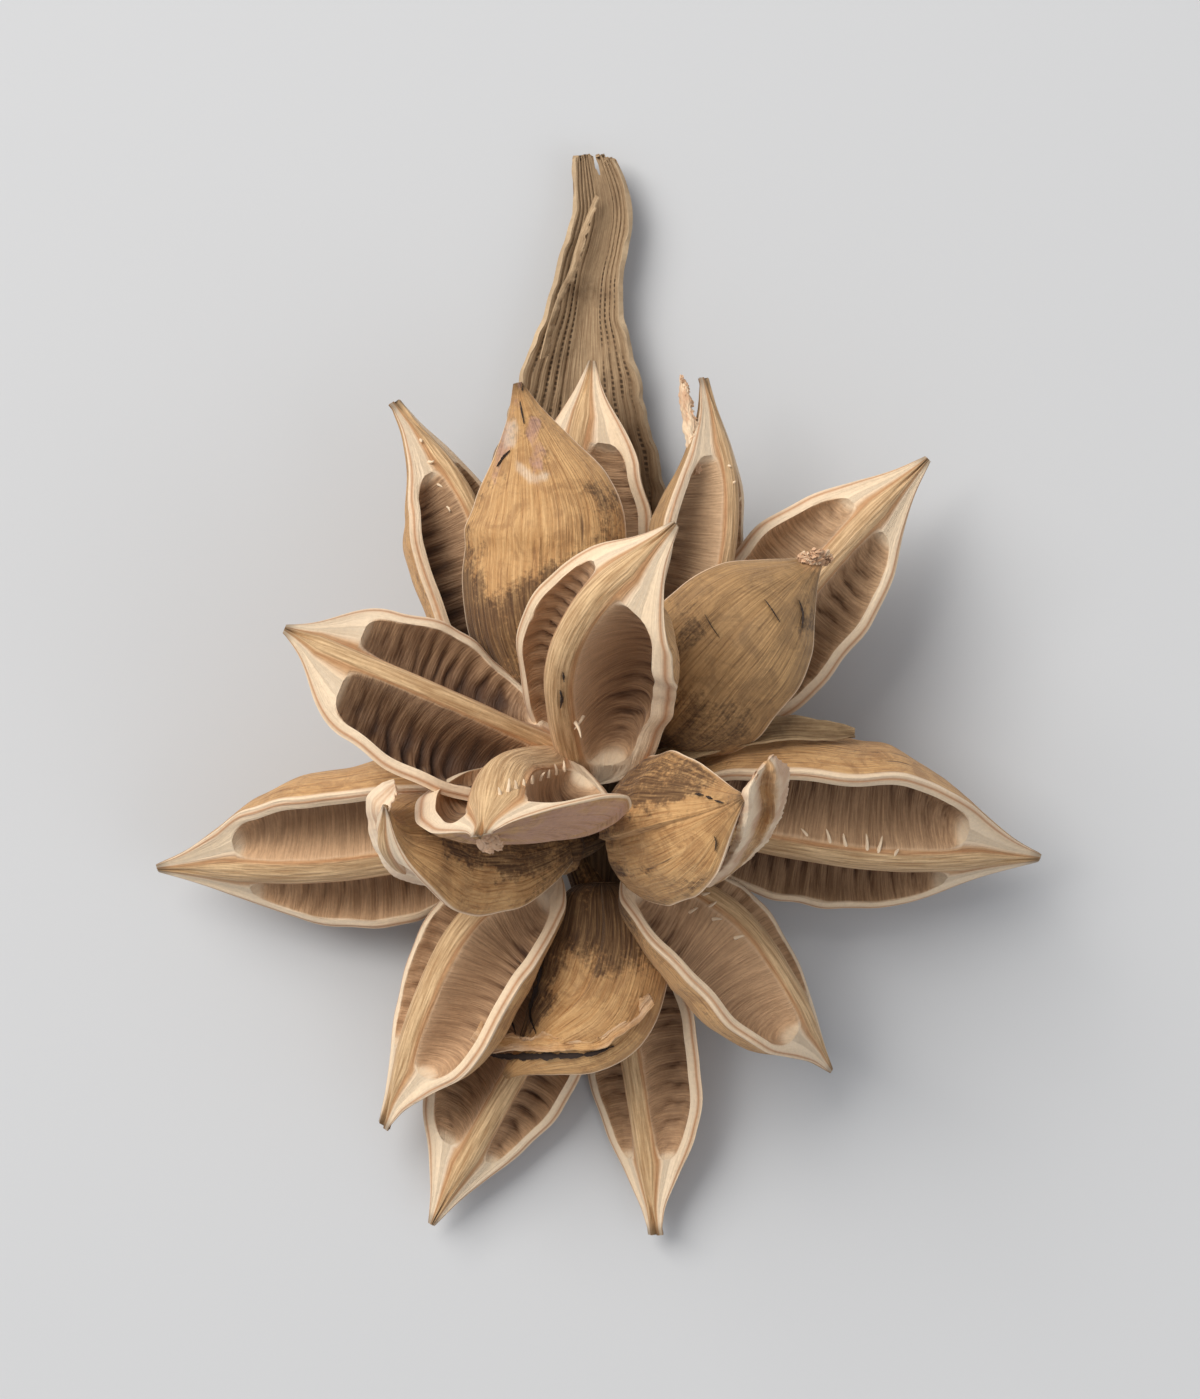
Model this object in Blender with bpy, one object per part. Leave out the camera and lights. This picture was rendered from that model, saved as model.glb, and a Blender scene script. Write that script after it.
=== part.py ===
# A dried star pod: woody capsules, each split into three hollow valves, on a short stalk with its ribbed bract.
# It lies on its back. +Z is up, +Y runs along the stalk towards the bract's tip, and z = 0 is the table.

import math

import bmesh
import bpy
from mathutils import Matrix, Vector, geometry

MM = 0.001
PARTS = "bleached_star_pod"
CUTTERS = "cutters"

# Driving dimensions of a capsule valve, in millimetres.
RIDGE_HALF = 3.6        # half the width of the flat-topped ridge (the septum's inner edge)
RIM = 3.6               # width of the pale cut face outside each cavity
WALL = 2.6              # thickness of the woody wall under a cavity
MARGIN_ANGLE = 66       # degrees from the middle of the back round to the split margin
CAVITY_SPAN = (0.08, 0.77)      # shares of the valve's length between which the cavities lie
CAVITY_STEPS = 9        # bands along a cavity
TIP_RADIUS = 1.1
NARROW_ROOT = 0.34      # share of the largest radius that a valve has at its base, where it is not wider
BASE_ROUND = 0.06       # share of the length over which a wider base is rounded off
# The outline of a capsule past its base: share of length, share of the largest radius.
CAPSULE_OUTLINE = [(0.2, 0.88), (0.38, 1.0), (0.55, 0.97), (0.7, 0.78), (0.82, 0.46), (0.92, 0.2), (1, 0.05)]

KNOB_RADIUS = 8.5       # where a capsule's three valves join
PEDICEL_RADIUS = 5.0
GAP = 0.6               # clearance that separate pieces keep

STRAW = (0.62, 0.45, 0.26)
WEATHERED = (0.42, 0.33, 0.22)
GREY_BEIGE = (0.52, 0.44, 0.33)
BROWN = (0.33, 0.23, 0.13)

# Each capsule: where its three valves join, where its pedicel meets the stalk, and its valves.
# A valve is the line of its ridge from base to tip, the way its ridge faces at the base and at the tip, and its
# radius. Where they differ, it also has its margin angle (at the base and at the tip), half its ridge's width,
# how wide its base is and how much fuller it is near its tip, and for each side the shares by which it is wider
# and deeper, the width of its rim and the degrees by which its margin is turned.
CAPSULES = {
    "capsule_centre": {
        "base": (-7, -17, 62), "foot": (0, -18, 24), "colour": STRAW,
        "valves": [
            {"ridge": [(-9, -13, 64), (-43, 2, 84), (-84, 19, 88)],
             "face": [(0.3, 0.4, 0.87), (0.15, 0.3, 0.94)], "radius": 27, "half_ridge": 2.8,
             "wide": (0.94, 0.98), "full": 0.18},
            {"ridge": [(-8, -24, 58), (-12, 5, 94), (-2, 27, 117), (20, 46, 125)],
             "face": [(-0.45, -0.62, 0.62), (-0.55, 0.1, 0.8)], "radius": 26.5, "margin": (62, 62),
             "half_ridge": 5, "wide": (0.77, 1.25), "root": 0.58, "full": 0.13, "rim": (3.6, 6.2)},
            {"ridge": [(-13, -13, 66), (-26, -17, 97), (-31, -35, 126)],
             "face": [(0.0, 0.7, 0.7), (-0.2, 0.8, 0.6)], "radius": 25, "margin": (72, 76),
             "half_ridge": 9.5, "wide": (1.5, 1.36), "deep": (0.6, 0.7), "turn": (0, -29), "rim": (3.6, 9)},
        ],
    },
    "capsule_upper_left": {
        "base": (-6, -5, 41), "foot": (-1, -3, 22), "colour": STRAW,
        "valves": [
            {"ridge": [(-6, -5, 39), (-13, 24, 42), (-14, 54, 46), (-22, 87, 54)],
             "face": [(0.1, 0, -1), (0.1, 0, -1)], "radius": 25.5},
            {"ridge": [(-8, -4, 42), (-24, 27, 46), (-36, 58, 44), (-56, 83, 38)],
             "face": [(0.75, 0.2, 0.6), (0.75, 0.2, 0.6)], "radius": 24},
            {"ridge": [(-4, -5, 37), (-8, 28, 33), (-8, 64, 29), (-2, 95, 24)],
             "face": [(-0.6, 0, 0.8), (-0.6, 0, 0.8)], "radius": 27, "wide": (1.0, 0.9), "full": 0.12},
        ],
    },
    "capsule_upper_right": {
        "base": (19, -9, 44), "foot": (3, -10, 24), "colour": WEATHERED,
        "valves": [
            {"ridge": [(18, -9, 46), (29, 5, 54), (43, 21, 61), (61, 39, 64)],
             "face": [(0.1, 0, -1), (0.1, 0, -1)], "radius": 24.5},
            {"ridge": [(19, -4, 42), (34, 27, 50), (38, 58, 50), (30, 89, 44)],
             "face": [(0.8, 0.2, 0.5), (0.8, 0.2, 0.5)], "radius": 24, "wide": (1, 0.88)},
            {"ridge": [(23, -10, 42), (45, 16, 46), (70, 45, 42), (92, 67, 34)],
             "face": [(0, 0, 1), (0, 0, 1)], "radius": 23.5},
        ],
    },
    "capsule_right": {
        "base": (12, -38, 42), "foot": (3, -33, 27), "colour": STRAW,
        "valves": [
            {"ridge": [(10, -38, 44), (18, -38, 52), (29, -36, 69), (37, -32, 91), (39, -26, 114)],
             "face": [(0.8, 0, -0.6), (0.95, 0.15, 0.2)], "radius": 26, "margin": (62, 64),
             "wide": (0.85, 0.95), "root": 0.55, "deep": (1.12, 1.12)},
            {"ridge": [(16, -34, 40), (53, -42, 44), (84, -46, 40), (124, -45, 24)],
             "face": [(0, -0.85, 0.52), (0, -0.7, 0.7)], "radius": 30, "margin": (84, 76),
             "half_ridge": 4.4},
            {"ridge": [(11, -42, 38), (39, -58, 44), (56, -81, 36), (66, -104, 22)],
             "face": [(0.66, 0.53, 0.53), (0.66, 0.53, 0.53)], "radius": 26, "margin": (72, 72),
             "half_ridge": 4.6, "wide": (0.8, 1.24), "root": 0.45, "deep": (0.85, 0.85)},
        ],
    },
    "capsule_left": {
        "base": (-11, -41, 42), "foot": (-1, -38, 28), "colour": STRAW,
        "valves": [
            {"ridge": [(-9, -40, 44), (-30, -46, 48), (-50, -48, 64), (-58, -41, 86), (-57, -29, 100)],
             "face": [(-0.2, -0.3, -0.95), (-0.75, -0.5, 0.3)], "radius": 23, "margin": (66, 66),
             "wide": (1.0, 0.85)},
            {"ridge": [(-14, -40, 40), (-50, -45, 42), (-83, -49, 36), (-124, -48, 20)],
             "face": [(0, -0.8, 0.6), (0, -0.65, 0.76)], "radius": 28, "margin": (86, 76),
             "half_ridge": 4.4, "wide": (1, 0.94)},
            {"ridge": [(-14, -44, 38), (-37, -60, 45), (-51, -86, 38), (-61, -120, 20)],
             "face": [(-0.65, 0.3, 0.65), (-0.65, 0.3, 0.65)], "radius": 26, "margin": (70, 70),
             "half_ridge": 4.6, "wide": (1.05, 0.85), "root": 0.42},
        ],
    },
    "capsule_lower": {
        "base": (1, -58, 30), "foot": (1, -49, 27), "colour": STRAW,
        "valves": [
            {"ridge": [(1, -51, 33), (1, -70, 32), (-6, -89, 33), (-26, -105, 36)],
             "face": [(0, 0, -1), (0, -0.6, -0.8)], "radius": 22, "margin": (68, 80),
             "wide": (0.78, 1.0), "root": 0.6, "rim": (3.6, 5.5), "deep": (0.8, 0.8)},
            {"ridge": [(-2, -58, 27), (-15, -90, 26), (-30, -118, 21), (-47, -149, 10)],
             "face": [(0.25, 0.1, 0.96), (0.25, 0.1, 0.96)], "radius": 24, "wide": (0.85, 1.08)},
            {"ridge": [(2, -58, 26), (6, -87, 23), (10, -112, 18), (16, -152, 9)],
             "face": [(-0.5, 0, 0.85), (-0.5, 0, 0.85)], "radius": 21},
        ],
    },
}


def blend_value(table, t):
    """The value at t of a smooth curve through the (t, value) points of a table."""
    for (t0, v0), (t1, v1) in zip(table, table[1:]):
        if t <= t1:
            share = (t - t0) / (t1 - t0)
            share = share * share * (3 - 2 * share) * 0.35 + share * 0.65
            return v0 + (v1 - v0) * share
    return table[-1][1]


class Line:
    """A smooth line through a few points, read by its share of length, in metres."""

    def __init__(self, points):
        points = [Vector(p) * MM for p in points]
        before = points[0] * 2 - points[1]
        after = points[-1] * 2 - points[-2]
        chain = [before] + points + [after]
        self.dots = []
        for i in range(1, len(chain) - 2):
            handle_a = chain[i] + (chain[i + 1] - chain[i - 1]) / 6
            handle_b = chain[i + 1] - (chain[i + 2] - chain[i]) / 6
            span = geometry.interpolate_bezier(chain[i], handle_a, handle_b, chain[i + 1], 24)
            self.dots += span if i == 1 else span[1:]
        self.reach = [0.0]
        for a, b in zip(self.dots, self.dots[1:]):
            self.reach.append(self.reach[-1] + (b - a).length)

    def at(self, t):
        wanted = min(max(t, 0.0), 1.0) * self.reach[-1]
        for i in range(1, len(self.dots)):
            if wanted <= self.reach[i]:
                share = (wanted - self.reach[i - 1]) / (self.reach[i] - self.reach[i - 1])
                return self.dots[i - 1].lerp(self.dots[i], share)
        return self.dots[-1].copy()

    def frame(self, t, face):
        """The point at t, the way up nearest to face, and the way across."""
        along = (self.at(t + 0.02) - self.at(t - 0.02)).normalized()
        up = (face - along * face.dot(along)).normalized()
        return self.at(t), up, up.cross(along)


def loft(name, rings, sheet=False):
    """A closed mesh object through rings of points that all have the same count. The two halves of a ring are
    split into triangles in mirror image, so that thin walls stay apart. A sheet's ends are closed by strips."""
    bm = bmesh.new()
    rows = [[bm.verts.new(p) for p in ring] for ring in rings]
    count = len(rows[0])
    for low, high in zip(rows, rows[1:]):
        for i in range(count):
            j = (i + 1) % count
            a, b, c, d = low[i], low[(i + 1) % count], high[(i + 1) % count], high[i]
            if i >= count // 2:
                a, b, c, d = b, c, d, a
            bm.faces.new((a, b, c))
            bm.faces.new((a, c, d))
    for row in (rows[0][::-1], rows[-1]):
        if sheet:
            for i in range(count // 2 - 1):
                bm.faces.new((row[i], row[i + 1], row[-2 - i], row[-1 - i]))
        else:
            bm.faces.new(row)
    bmesh.ops.triangulate(bm, faces=[f for f in bm.faces if len(f.verts) > 3])
    bmesh.ops.recalc_face_normals(bm, faces=bm.faces)
    mesh = bpy.data.meshes.new(name)
    bm.to_mesh(mesh)
    bm.free()
    piece = bpy.data.objects.new(name, mesh)
    bpy.context.scene.collection.objects.link(piece)
    return piece


def half_section(radius, margin, ridge, rim, opening):
    """One side of a valve's section as (across, up) pairs in millimetres: from the ridge's edge, down and
    round the cavity, over the rim and round the outside. opening is 0 in solid wood and 1 at the widest."""
    def polar(angle, r):
        return Vector((math.sin(angle) * r, -math.cos(angle) * r))

    start, end = polar(margin, ridge + min(0.5, 0.1 * radius)), polar(margin, radius - min(rim, 0.25 * radius))
    hollow = radius - WALL
    handles = [polar(0.12 * margin, 1.12 * hollow), polar(0.66 * margin, 1.3 * hollow)]
    wall = geometry.interpolate_bezier(start, *handles, end, 5)
    points = [polar(margin, ridge)]
    for k, dot in enumerate(wall):
        edge = start.lerp(end, 0.5 + (k / 4 - 0.5) * (0.4 + 0.6 * opening))
        points.append(edge.lerp(Vector(dot[:2]), opening))
    points.append(polar(margin, radius))
    points += [polar(margin * share, radius) for share in (0.68, 0.34)]
    return points


def outline(t, root, full):
    """A valve's radius at t, as a share of its largest, with its base root wide and full added near its tip.
    A wide base is rounded off."""
    table = [(0, root), (0.07, 0.45 * (root + 1))] + CAPSULE_OUTLINE
    size = blend_value(table, t) + full * math.exp(-((t - 0.8) / 0.1) ** 2)
    if root > NARROW_ROOT and t < BASE_ROUND:
        size *= 0.4 + 0.6 * math.sqrt(1 - (1 - t / BASE_ROUND) ** 2)
    return size


def valve_rings(ridge, face, radius, margin=(MARGIN_ANGLE, MARGIN_ANGLE), half_ridge=RIDGE_HALF, wide=(1, 1),
                root=NARROW_ROOT, full=0.0, rim=(RIM, RIM), turn=(0, 0), deep=(1, 1)):
    """The sections of one valve from its base to its tip, as rings of points."""
    line = Line(ridge)
    middle, half = (CAVITY_SPAN[0] + CAVITY_SPAN[1]) / 2, (CAVITY_SPAN[1] - CAVITY_SPAN[0]) / 2
    stations = [(0, 0), (CAVITY_SPAN[0] / 2, 0)]
    if root > NARROW_ROOT:
        stations.insert(1, (BASE_ROUND / 5, 0))
    for k in range(CAVITY_STEPS + 1):
        x = -math.cos(math.pi * k / CAVITY_STEPS)
        stations.append((middle + half * x, max(0.0, 1 - abs(x) ** 3) ** 0.45))
    stations += [(0.84, 0), (0.92, 0), (1, 0)]
    rings = []
    for t, opening in stations:
        turned = Vector(face[0]).lerp(Vector(face[1]), t)
        origin, up, across = line.frame(t, turned)
        size = max(radius * outline(t, root, full), TIP_RADIUS)
        angle = margin[0] + (margin[1] - margin[0]) * t * t
        narrow = max(0.3, half_ridge / radius)
        ring = [origin + up * 0.12 * min(half_ridge, narrow * size) * MM]
        sides = []
        for side, sign in enumerate((1, -1)):
            opened = math.radians(angle + turn[side])
            edge = size * wide[side]
            points = half_section(edge, opened, min(half_ridge, narrow * edge), rim[side], opening)
            sides.append([origin + (across * sign * p.x + up * p.y * deep[side]) * MM for p in points])
        back = size * (deep[0] * wide[0] + deep[1] * wide[1]) / 2
        ring += sides[0] + [origin - up * back * MM] + sides[1][::-1]
        rings.append(ring)
    return rings


def valve(name, **shape):
    """One valve: a third of a capsule, with the ridge along its inner side and a cavity on each side of it."""
    return loft(name, valve_rings(**shape))


def rod(name, start, end, start_radius, end_radius, sides=12):
    """A round tapered rod between two points, in millimetres."""
    start, end = Vector(start), Vector(end)
    bpy.ops.mesh.primitive_cone_add(vertices=sides, radius1=start_radius * MM, radius2=end_radius * MM,
                                    depth=(end - start).length * MM, location=(start + end) / 2 * MM)
    piece = bpy.context.object
    piece.name = name
    piece.rotation_euler = (end - start).to_track_quat("Z", "Y").to_euler()
    return piece


def knob(name, centre, radius):
    bpy.ops.mesh.primitive_uv_sphere_add(segments=10, ring_count=6, radius=radius * MM,
                                         location=Vector(centre) * MM)
    bpy.context.object.name = name
    return bpy.context.object


def baked(piece):
    """The piece with its modifiers and its placing applied to a new mesh."""
    bpy.context.view_layer.update()
    graph = bpy.context.evaluated_depsgraph_get()
    mesh = bpy.data.meshes.new_from_object(piece.evaluated_get(graph))
    mesh.transform(piece.matrix_world)
    piece.matrix_world = Matrix.Identity(4)
    piece.modifiers.clear()
    piece.data = mesh
    return piece


def joined(name, pieces):
    """One solid from several overlapping ones."""
    first, others = pieces[0], bpy.data.collections.new(name + "_pieces")
    bpy.context.scene.collection.children.link(others)
    for piece in pieces[1:]:
        for holder in piece.users_collection:
            holder.objects.unlink(piece)
        others.objects.link(piece)
    union = first.modifiers.new("join", "BOOLEAN")
    union.operation = "UNION"
    union.solver = "MANIFOLD"
    union.operand_type = "COLLECTION"
    union.collection = others
    baked(first)
    for piece in pieces[1:]:
        bpy.data.objects.remove(piece)
    bpy.data.collections.remove(others)
    first.name = name
    return first


def cut(piece, cutter):
    difference = piece.modifiers.new("cut", "BOOLEAN")
    difference.operation = "DIFFERENCE"
    difference.solver = "MANIFOLD"
    difference.object = cutter
    return baked(piece)


def without_chips(piece):
    """The piece with only its largest body kept: pressing can split a thin edge off."""
    bm = bmesh.new()
    bm.from_mesh(piece.data)
    left, bodies = set(bm.verts), []
    while left:
        body, edge = set(), [left.pop()]
        while edge:
            vert = edge.pop()
            body.add(vert)
            near = {e.other_vert(vert) for e in vert.link_edges} & left
            left -= near
            edge += near
        bodies.append(body)
    bodies.sort(key=len)
    bmesh.ops.delete(bm, geom=[v for body in bodies[:-1] for v in body], context="VERTS")
    bm.to_mesh(piece.data)
    bm.free()


def finish(piece, colour, roughness=0.7):
    for holder in list(piece.users_collection):
        holder.objects.unlink(piece)
    bpy.data.collections[PARTS].objects.link(piece)
    material = bpy.data.materials.new(piece.name + "_wood")
    material.use_nodes = True
    shader = material.node_tree.nodes["Principled BSDF"]
    shader.inputs["Base Color"].default_value = (*colour, 1)
    shader.inputs["Roughness"].default_value = roughness
    piece.data.materials.clear()
    piece.data.materials.append(material)
    piece.data.shade_smooth()
    piece.data.set_sharp_from_angle(angle=math.radians(35))


RACHIS_LINE = [(0, 5, 17), (1, -15, 20), (1, -35, 24), (1, -51, 26)]
RACHIS_OUTLINE = [(0, 0.7), (0.25, 0.9), (0.5, 1.0), (0.8, 1.0), (1, 0.75)]
RACHIS_RADIUS = 8.0


def stalk(name, extra=0.0):
    """The short woody stalk that the capsules grow from."""
    line = Line(RACHIS_LINE)
    rings = []
    for k in range(9):
        t = k / 8
        origin, up, across = line.frame(t, Vector((0, 0, 1)))
        radius = (RACHIS_RADIUS * blend_value(RACHIS_OUTLINE, t) + extra) * MM
        rings.append([origin + across * math.cos(a) * radius + up * math.sin(a) * radius
                      for a in (math.tau * i / 14 for i in range(14))])
    return loft(name, rings)


# The bract is a folded, ribbed sheath: its centre line, and at each share of length its half width and its
# fold's depth, in millimetres.
BRACT_LINE = [(0, -12, 8.5), (-4, 12, 3.2), (-7, 39, 1.6), (-6, 68, 1.6), (-4.6, 98, 2.4), (-2.6, 119, 4),
              (0, 130, 4.8), (1.2, 140, 5.5), (-1.6, 151.2, 6)]
BRACT_HALF_WIDTH = [(0, 10), (0.16, 20), (0.3, 25), (0.42, 25), (0.49, 22.5), (0.6, 16.8), (0.67, 13.3),
                    (0.735, 9.7), (0.86, 7.9), (0.925, 7.1), (1, 3.8)]
BRACT_DEPTH = [(0, 7), (0.4, 9), (0.6, 8), (0.8, 6), (1, 3)]
BRACT_THICKNESS = 2.0
BRACT_RIBS = 6          # ribs on each side of the fold
BRACT_RIB_SLOPE = 0.8   # how steep the ribs' sides are


def bract(name):
    line = Line(BRACT_LINE)
    rings = []
    steps = BRACT_RIBS * 4
    for k in range(17):
        t = k / 16
        origin, up, across = line.frame(t, Vector((0, 0, 1)))
        half, depth = blend_value(BRACT_HALF_WIDTH, t), blend_value(BRACT_DEPTH, t)
        under, over = [], []
        for i in range(steps + 1):
            x = 2 * i / steps - 1
            rib = BRACT_RIB_SLOPE * half / steps * (1 if i % 2 else -1) * min(1, abs(x) * 2.5)
            rise = depth * abs(x) ** 1.7
            point = origin + (across * half * x + up * (rise + rib)) * MM
            over.append(point)
            under.append(point - up * BRACT_THICKNESS * MM)
        rings.append(under + over[::-1])
    return loft(name, rings, sheet=True)


# The bractlet is a thin papery strip, curled along its length, dried on between two capsules.
BRACTLET_LINE = [(6, -25, 46), (13, -19, 55), (22, -15.5, 60), (34, -11.8, 61), (48, -8.4, 59.5),
                 (58, -7.8, 57), (70, -8.6, 54)]
BRACTLET_HALF_WIDTH = [(0, 2.2), (0.4, 2.9), (0.75, 3.0), (1, 1.2)]
BRACTLET_THICKNESS = 1.0
BRACTLET_CURL = 2.2     # depth of the channel it curls into


def bractlet(name):
    line = Line(BRACTLET_LINE)
    rings = []
    for k in range(13):
        t = k / 12
        origin, up, across = line.frame(t, Vector((0, 0.55, 0.8)))
        half = blend_value(BRACTLET_HALF_WIDTH, t)
        over = []
        for i in range(5):
            x = i / 2 - 1
            over.append(origin + (across * half * x + up * BRACTLET_CURL * x * x * half / 4.5) * MM)
        under = [point - up * BRACTLET_THICKNESS * MM for point in over]
        rings.append(under + over[::-1])
    return loft(name, rings, sheet=True)


# Where two capsules have dried pressed together, the first keeps its shape and the second gives way.
PRESSED = [("bractlet", "capsule_right"), ("bractlet", "capsule_upper_right"), ("bractlet", "capsule_centre"),
           ("capsule_centre", "capsule_right"), ("capsule_left", "capsule_right"),
           ("capsule_centre", "capsule_upper_left"), ("capsule_centre", "capsule_upper_right"),
           ("capsule_centre", "capsule_left"), ("capsule_upper_left", "capsule_upper_right"),
           ("capsule_upper_right", "capsule_right"), ("capsule_right", "capsule_lower"),
           ("capsule_left", "capsule_lower"), ("bract", "capsule_upper_left")]


def as_cutter(piece):
    for holder in list(piece.users_collection):
        holder.objects.unlink(piece)
    bpy.data.collections[CUTTERS].objects.link(piece)
    return piece


def table():
    """A block whose top is the table, which flattens the low points that the pod rests on."""
    bpy.ops.mesh.primitive_cube_add(size=1, location=(0, 0, -0.01), scale=(0.6, 0.6, 0.02))
    return as_cutter(bpy.context.object)


def swollen(piece):
    """A copy of a piece, larger by the gap all over, to press its neighbours back with."""
    copy = bpy.data.objects.new(piece.name + "_clearance", piece.data.copy())
    bpy.data.collections[CUTTERS].objects.link(copy)
    swell = copy.modifiers.new("swell", "DISPLACE")
    swell.strength = GAP * MM
    swell.mid_level = 0
    return baked(copy)


def build():
    for old in list(bpy.data.objects):
        bpy.data.objects.remove(old)
    for name in (PARTS, CUTTERS):
        bpy.context.scene.collection.children.link(bpy.data.collections.new(name))
    clear = as_cutter(stalk("rachis_clearance", GAP))
    below = table()
    finish(stalk("rachis"), WEATHERED)
    finish(cut(bract("bract"), below), GREY_BEIGE)
    finish(bractlet("bractlet"), BROWN)
    for name, capsule in CAPSULES.items():
        pieces = [knob(name + "_knob", capsule["base"], KNOB_RADIUS),
                  rod(name + "_pedicel", capsule["foot"], capsule["base"], PEDICEL_RADIUS,
                      PEDICEL_RADIUS + 1)]
        for number, shape in enumerate(capsule["valves"], 1):
            pieces.append(valve(f"{name}_valve_{number}", **shape))
        whole = cut(cut(joined(name, pieces), clear), below)
        finish(whole, capsule["colour"])
    for helper in (clear, below):
        bpy.data.objects.remove(helper)
    for first, second in PRESSED:
        press = swollen(bpy.data.objects[first])
        without_chips(cut(bpy.data.objects[second], press))
        bpy.data.objects.remove(press)


build()
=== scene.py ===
import math

import bpy
import numpy as np
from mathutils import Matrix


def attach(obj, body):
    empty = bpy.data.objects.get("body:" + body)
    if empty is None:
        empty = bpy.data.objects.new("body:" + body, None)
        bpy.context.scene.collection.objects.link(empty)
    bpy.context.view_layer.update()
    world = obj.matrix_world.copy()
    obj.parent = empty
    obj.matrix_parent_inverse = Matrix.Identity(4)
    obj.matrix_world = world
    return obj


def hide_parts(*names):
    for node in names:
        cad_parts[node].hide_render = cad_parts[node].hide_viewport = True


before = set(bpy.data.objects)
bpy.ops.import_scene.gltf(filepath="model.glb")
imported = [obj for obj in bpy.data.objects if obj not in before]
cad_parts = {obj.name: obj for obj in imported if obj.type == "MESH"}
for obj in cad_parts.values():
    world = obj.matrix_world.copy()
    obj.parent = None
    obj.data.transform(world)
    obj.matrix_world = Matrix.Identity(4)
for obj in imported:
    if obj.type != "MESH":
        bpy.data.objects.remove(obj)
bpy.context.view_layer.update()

mm = 0.001
bpy.ops.object.select_all(action="DESELECT")
print("frame loaded:", ", ".join(sorted(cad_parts)))


# Small helpers

def smoothCurve(table, t):  # a smooth curve through (t, value) points, with no overshoot
    xs, ys = np.array(table, float).T
    slope = np.diff(ys) / np.diff(xs)
    tangent = np.zeros(len(xs))
    tangent[0], tangent[-1] = slope[0], slope[-1]
    same = slope[:-1] * slope[1:] > 0
    mean = 2 * slope[:-1] * slope[1:] / np.where(same, slope[:-1] + slope[1:], 1)
    tangent[1:-1] = np.where(same, mean, 0)
    t = np.clip(t, xs[0], xs[-1])
    k = np.clip(np.searchsorted(xs, t, side="right") - 1, 0, len(xs) - 2)
    h = xs[k + 1] - xs[k]
    s = (t - xs[k]) / h
    return ((2 * s ** 3 - 3 * s ** 2 + 1) * ys[k] + (s ** 3 - 2 * s ** 2 + s) * h * tangent[k]
            + (3 * s ** 2 - 2 * s ** 3) * ys[k + 1] + (s ** 3 - s ** 2) * h * tangent[k + 1])


def smoothStep(low, high, x):
    s = np.clip((x - low) / (high - low), 0, 1)
    return s * s * (3 - 2 * s)


def waves(seed, *coords, octaves=5):  # a sum of random waves, about -1 to 1
    rng = np.random.default_rng(seed)
    total, weight = 0, 0
    for octave in range(octaves):
        direction = rng.normal(size=len(coords))
        direction *= 2 ** (octave * 0.75) / np.linalg.norm(direction)
        phase = rng.uniform(0, math.tau)
        strength = 0.75 ** octave
        total = total + strength * np.sin(sum(d * c for d, c in zip(direction, coords)) + phase)
        weight += strength
    return total / weight * 1.5


def spine(points, dotsPerSpan=40):  # a dense smooth line through a few points, in mm, with its length run
    p = np.array(points, float)
    chain = np.vstack([2 * p[0] - p[1], p, 2 * p[-1] - p[-2]])
    dots = []
    s = np.linspace(0, 1, dotsPerSpan, endpoint=False)[:, None]
    for i in range(1, len(chain) - 2):
        a, d = chain[i], chain[i + 1]
        b = a + (chain[i + 1] - chain[i - 1]) / 6
        c = d - (chain[i + 2] - chain[i]) / 6
        dots.append((1 - s) ** 3 * a + 3 * s * (1 - s) ** 2 * b + 3 * s ** 2 * (1 - s) * c + s ** 3 * d)
    dots = np.vstack(dots + [p[-1:]])
    reach = np.concatenate([[0], np.cumsum(np.linalg.norm(np.diff(dots, axis=0), axis=1))])
    return dots, reach


def along(line, t):  # points at the given shares of its length
    dots, reach = line
    wanted = np.clip(t, 0, 1) * reach[-1]
    return np.stack([np.interp(wanted, reach, dots[:, k]) for k in range(3)], axis=-1)


def unit(v):
    return v / np.linalg.norm(v, axis=-1, keepdims=True)


def frames(line, t, faceStart, faceEnd, reach=0.02):
    # at each t: the point, the way up nearest to the face, and the way across
    run = unit(along(line, t + reach) - along(line, t - reach))
    face = np.array(faceStart, float) * (1 - t[:, None]) + np.array(faceEnd, float) * t[:, None]
    up = unit(face - run * (face * run).sum(-1, keepdims=True))
    return along(line, t), up, np.cross(up, run)


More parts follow.
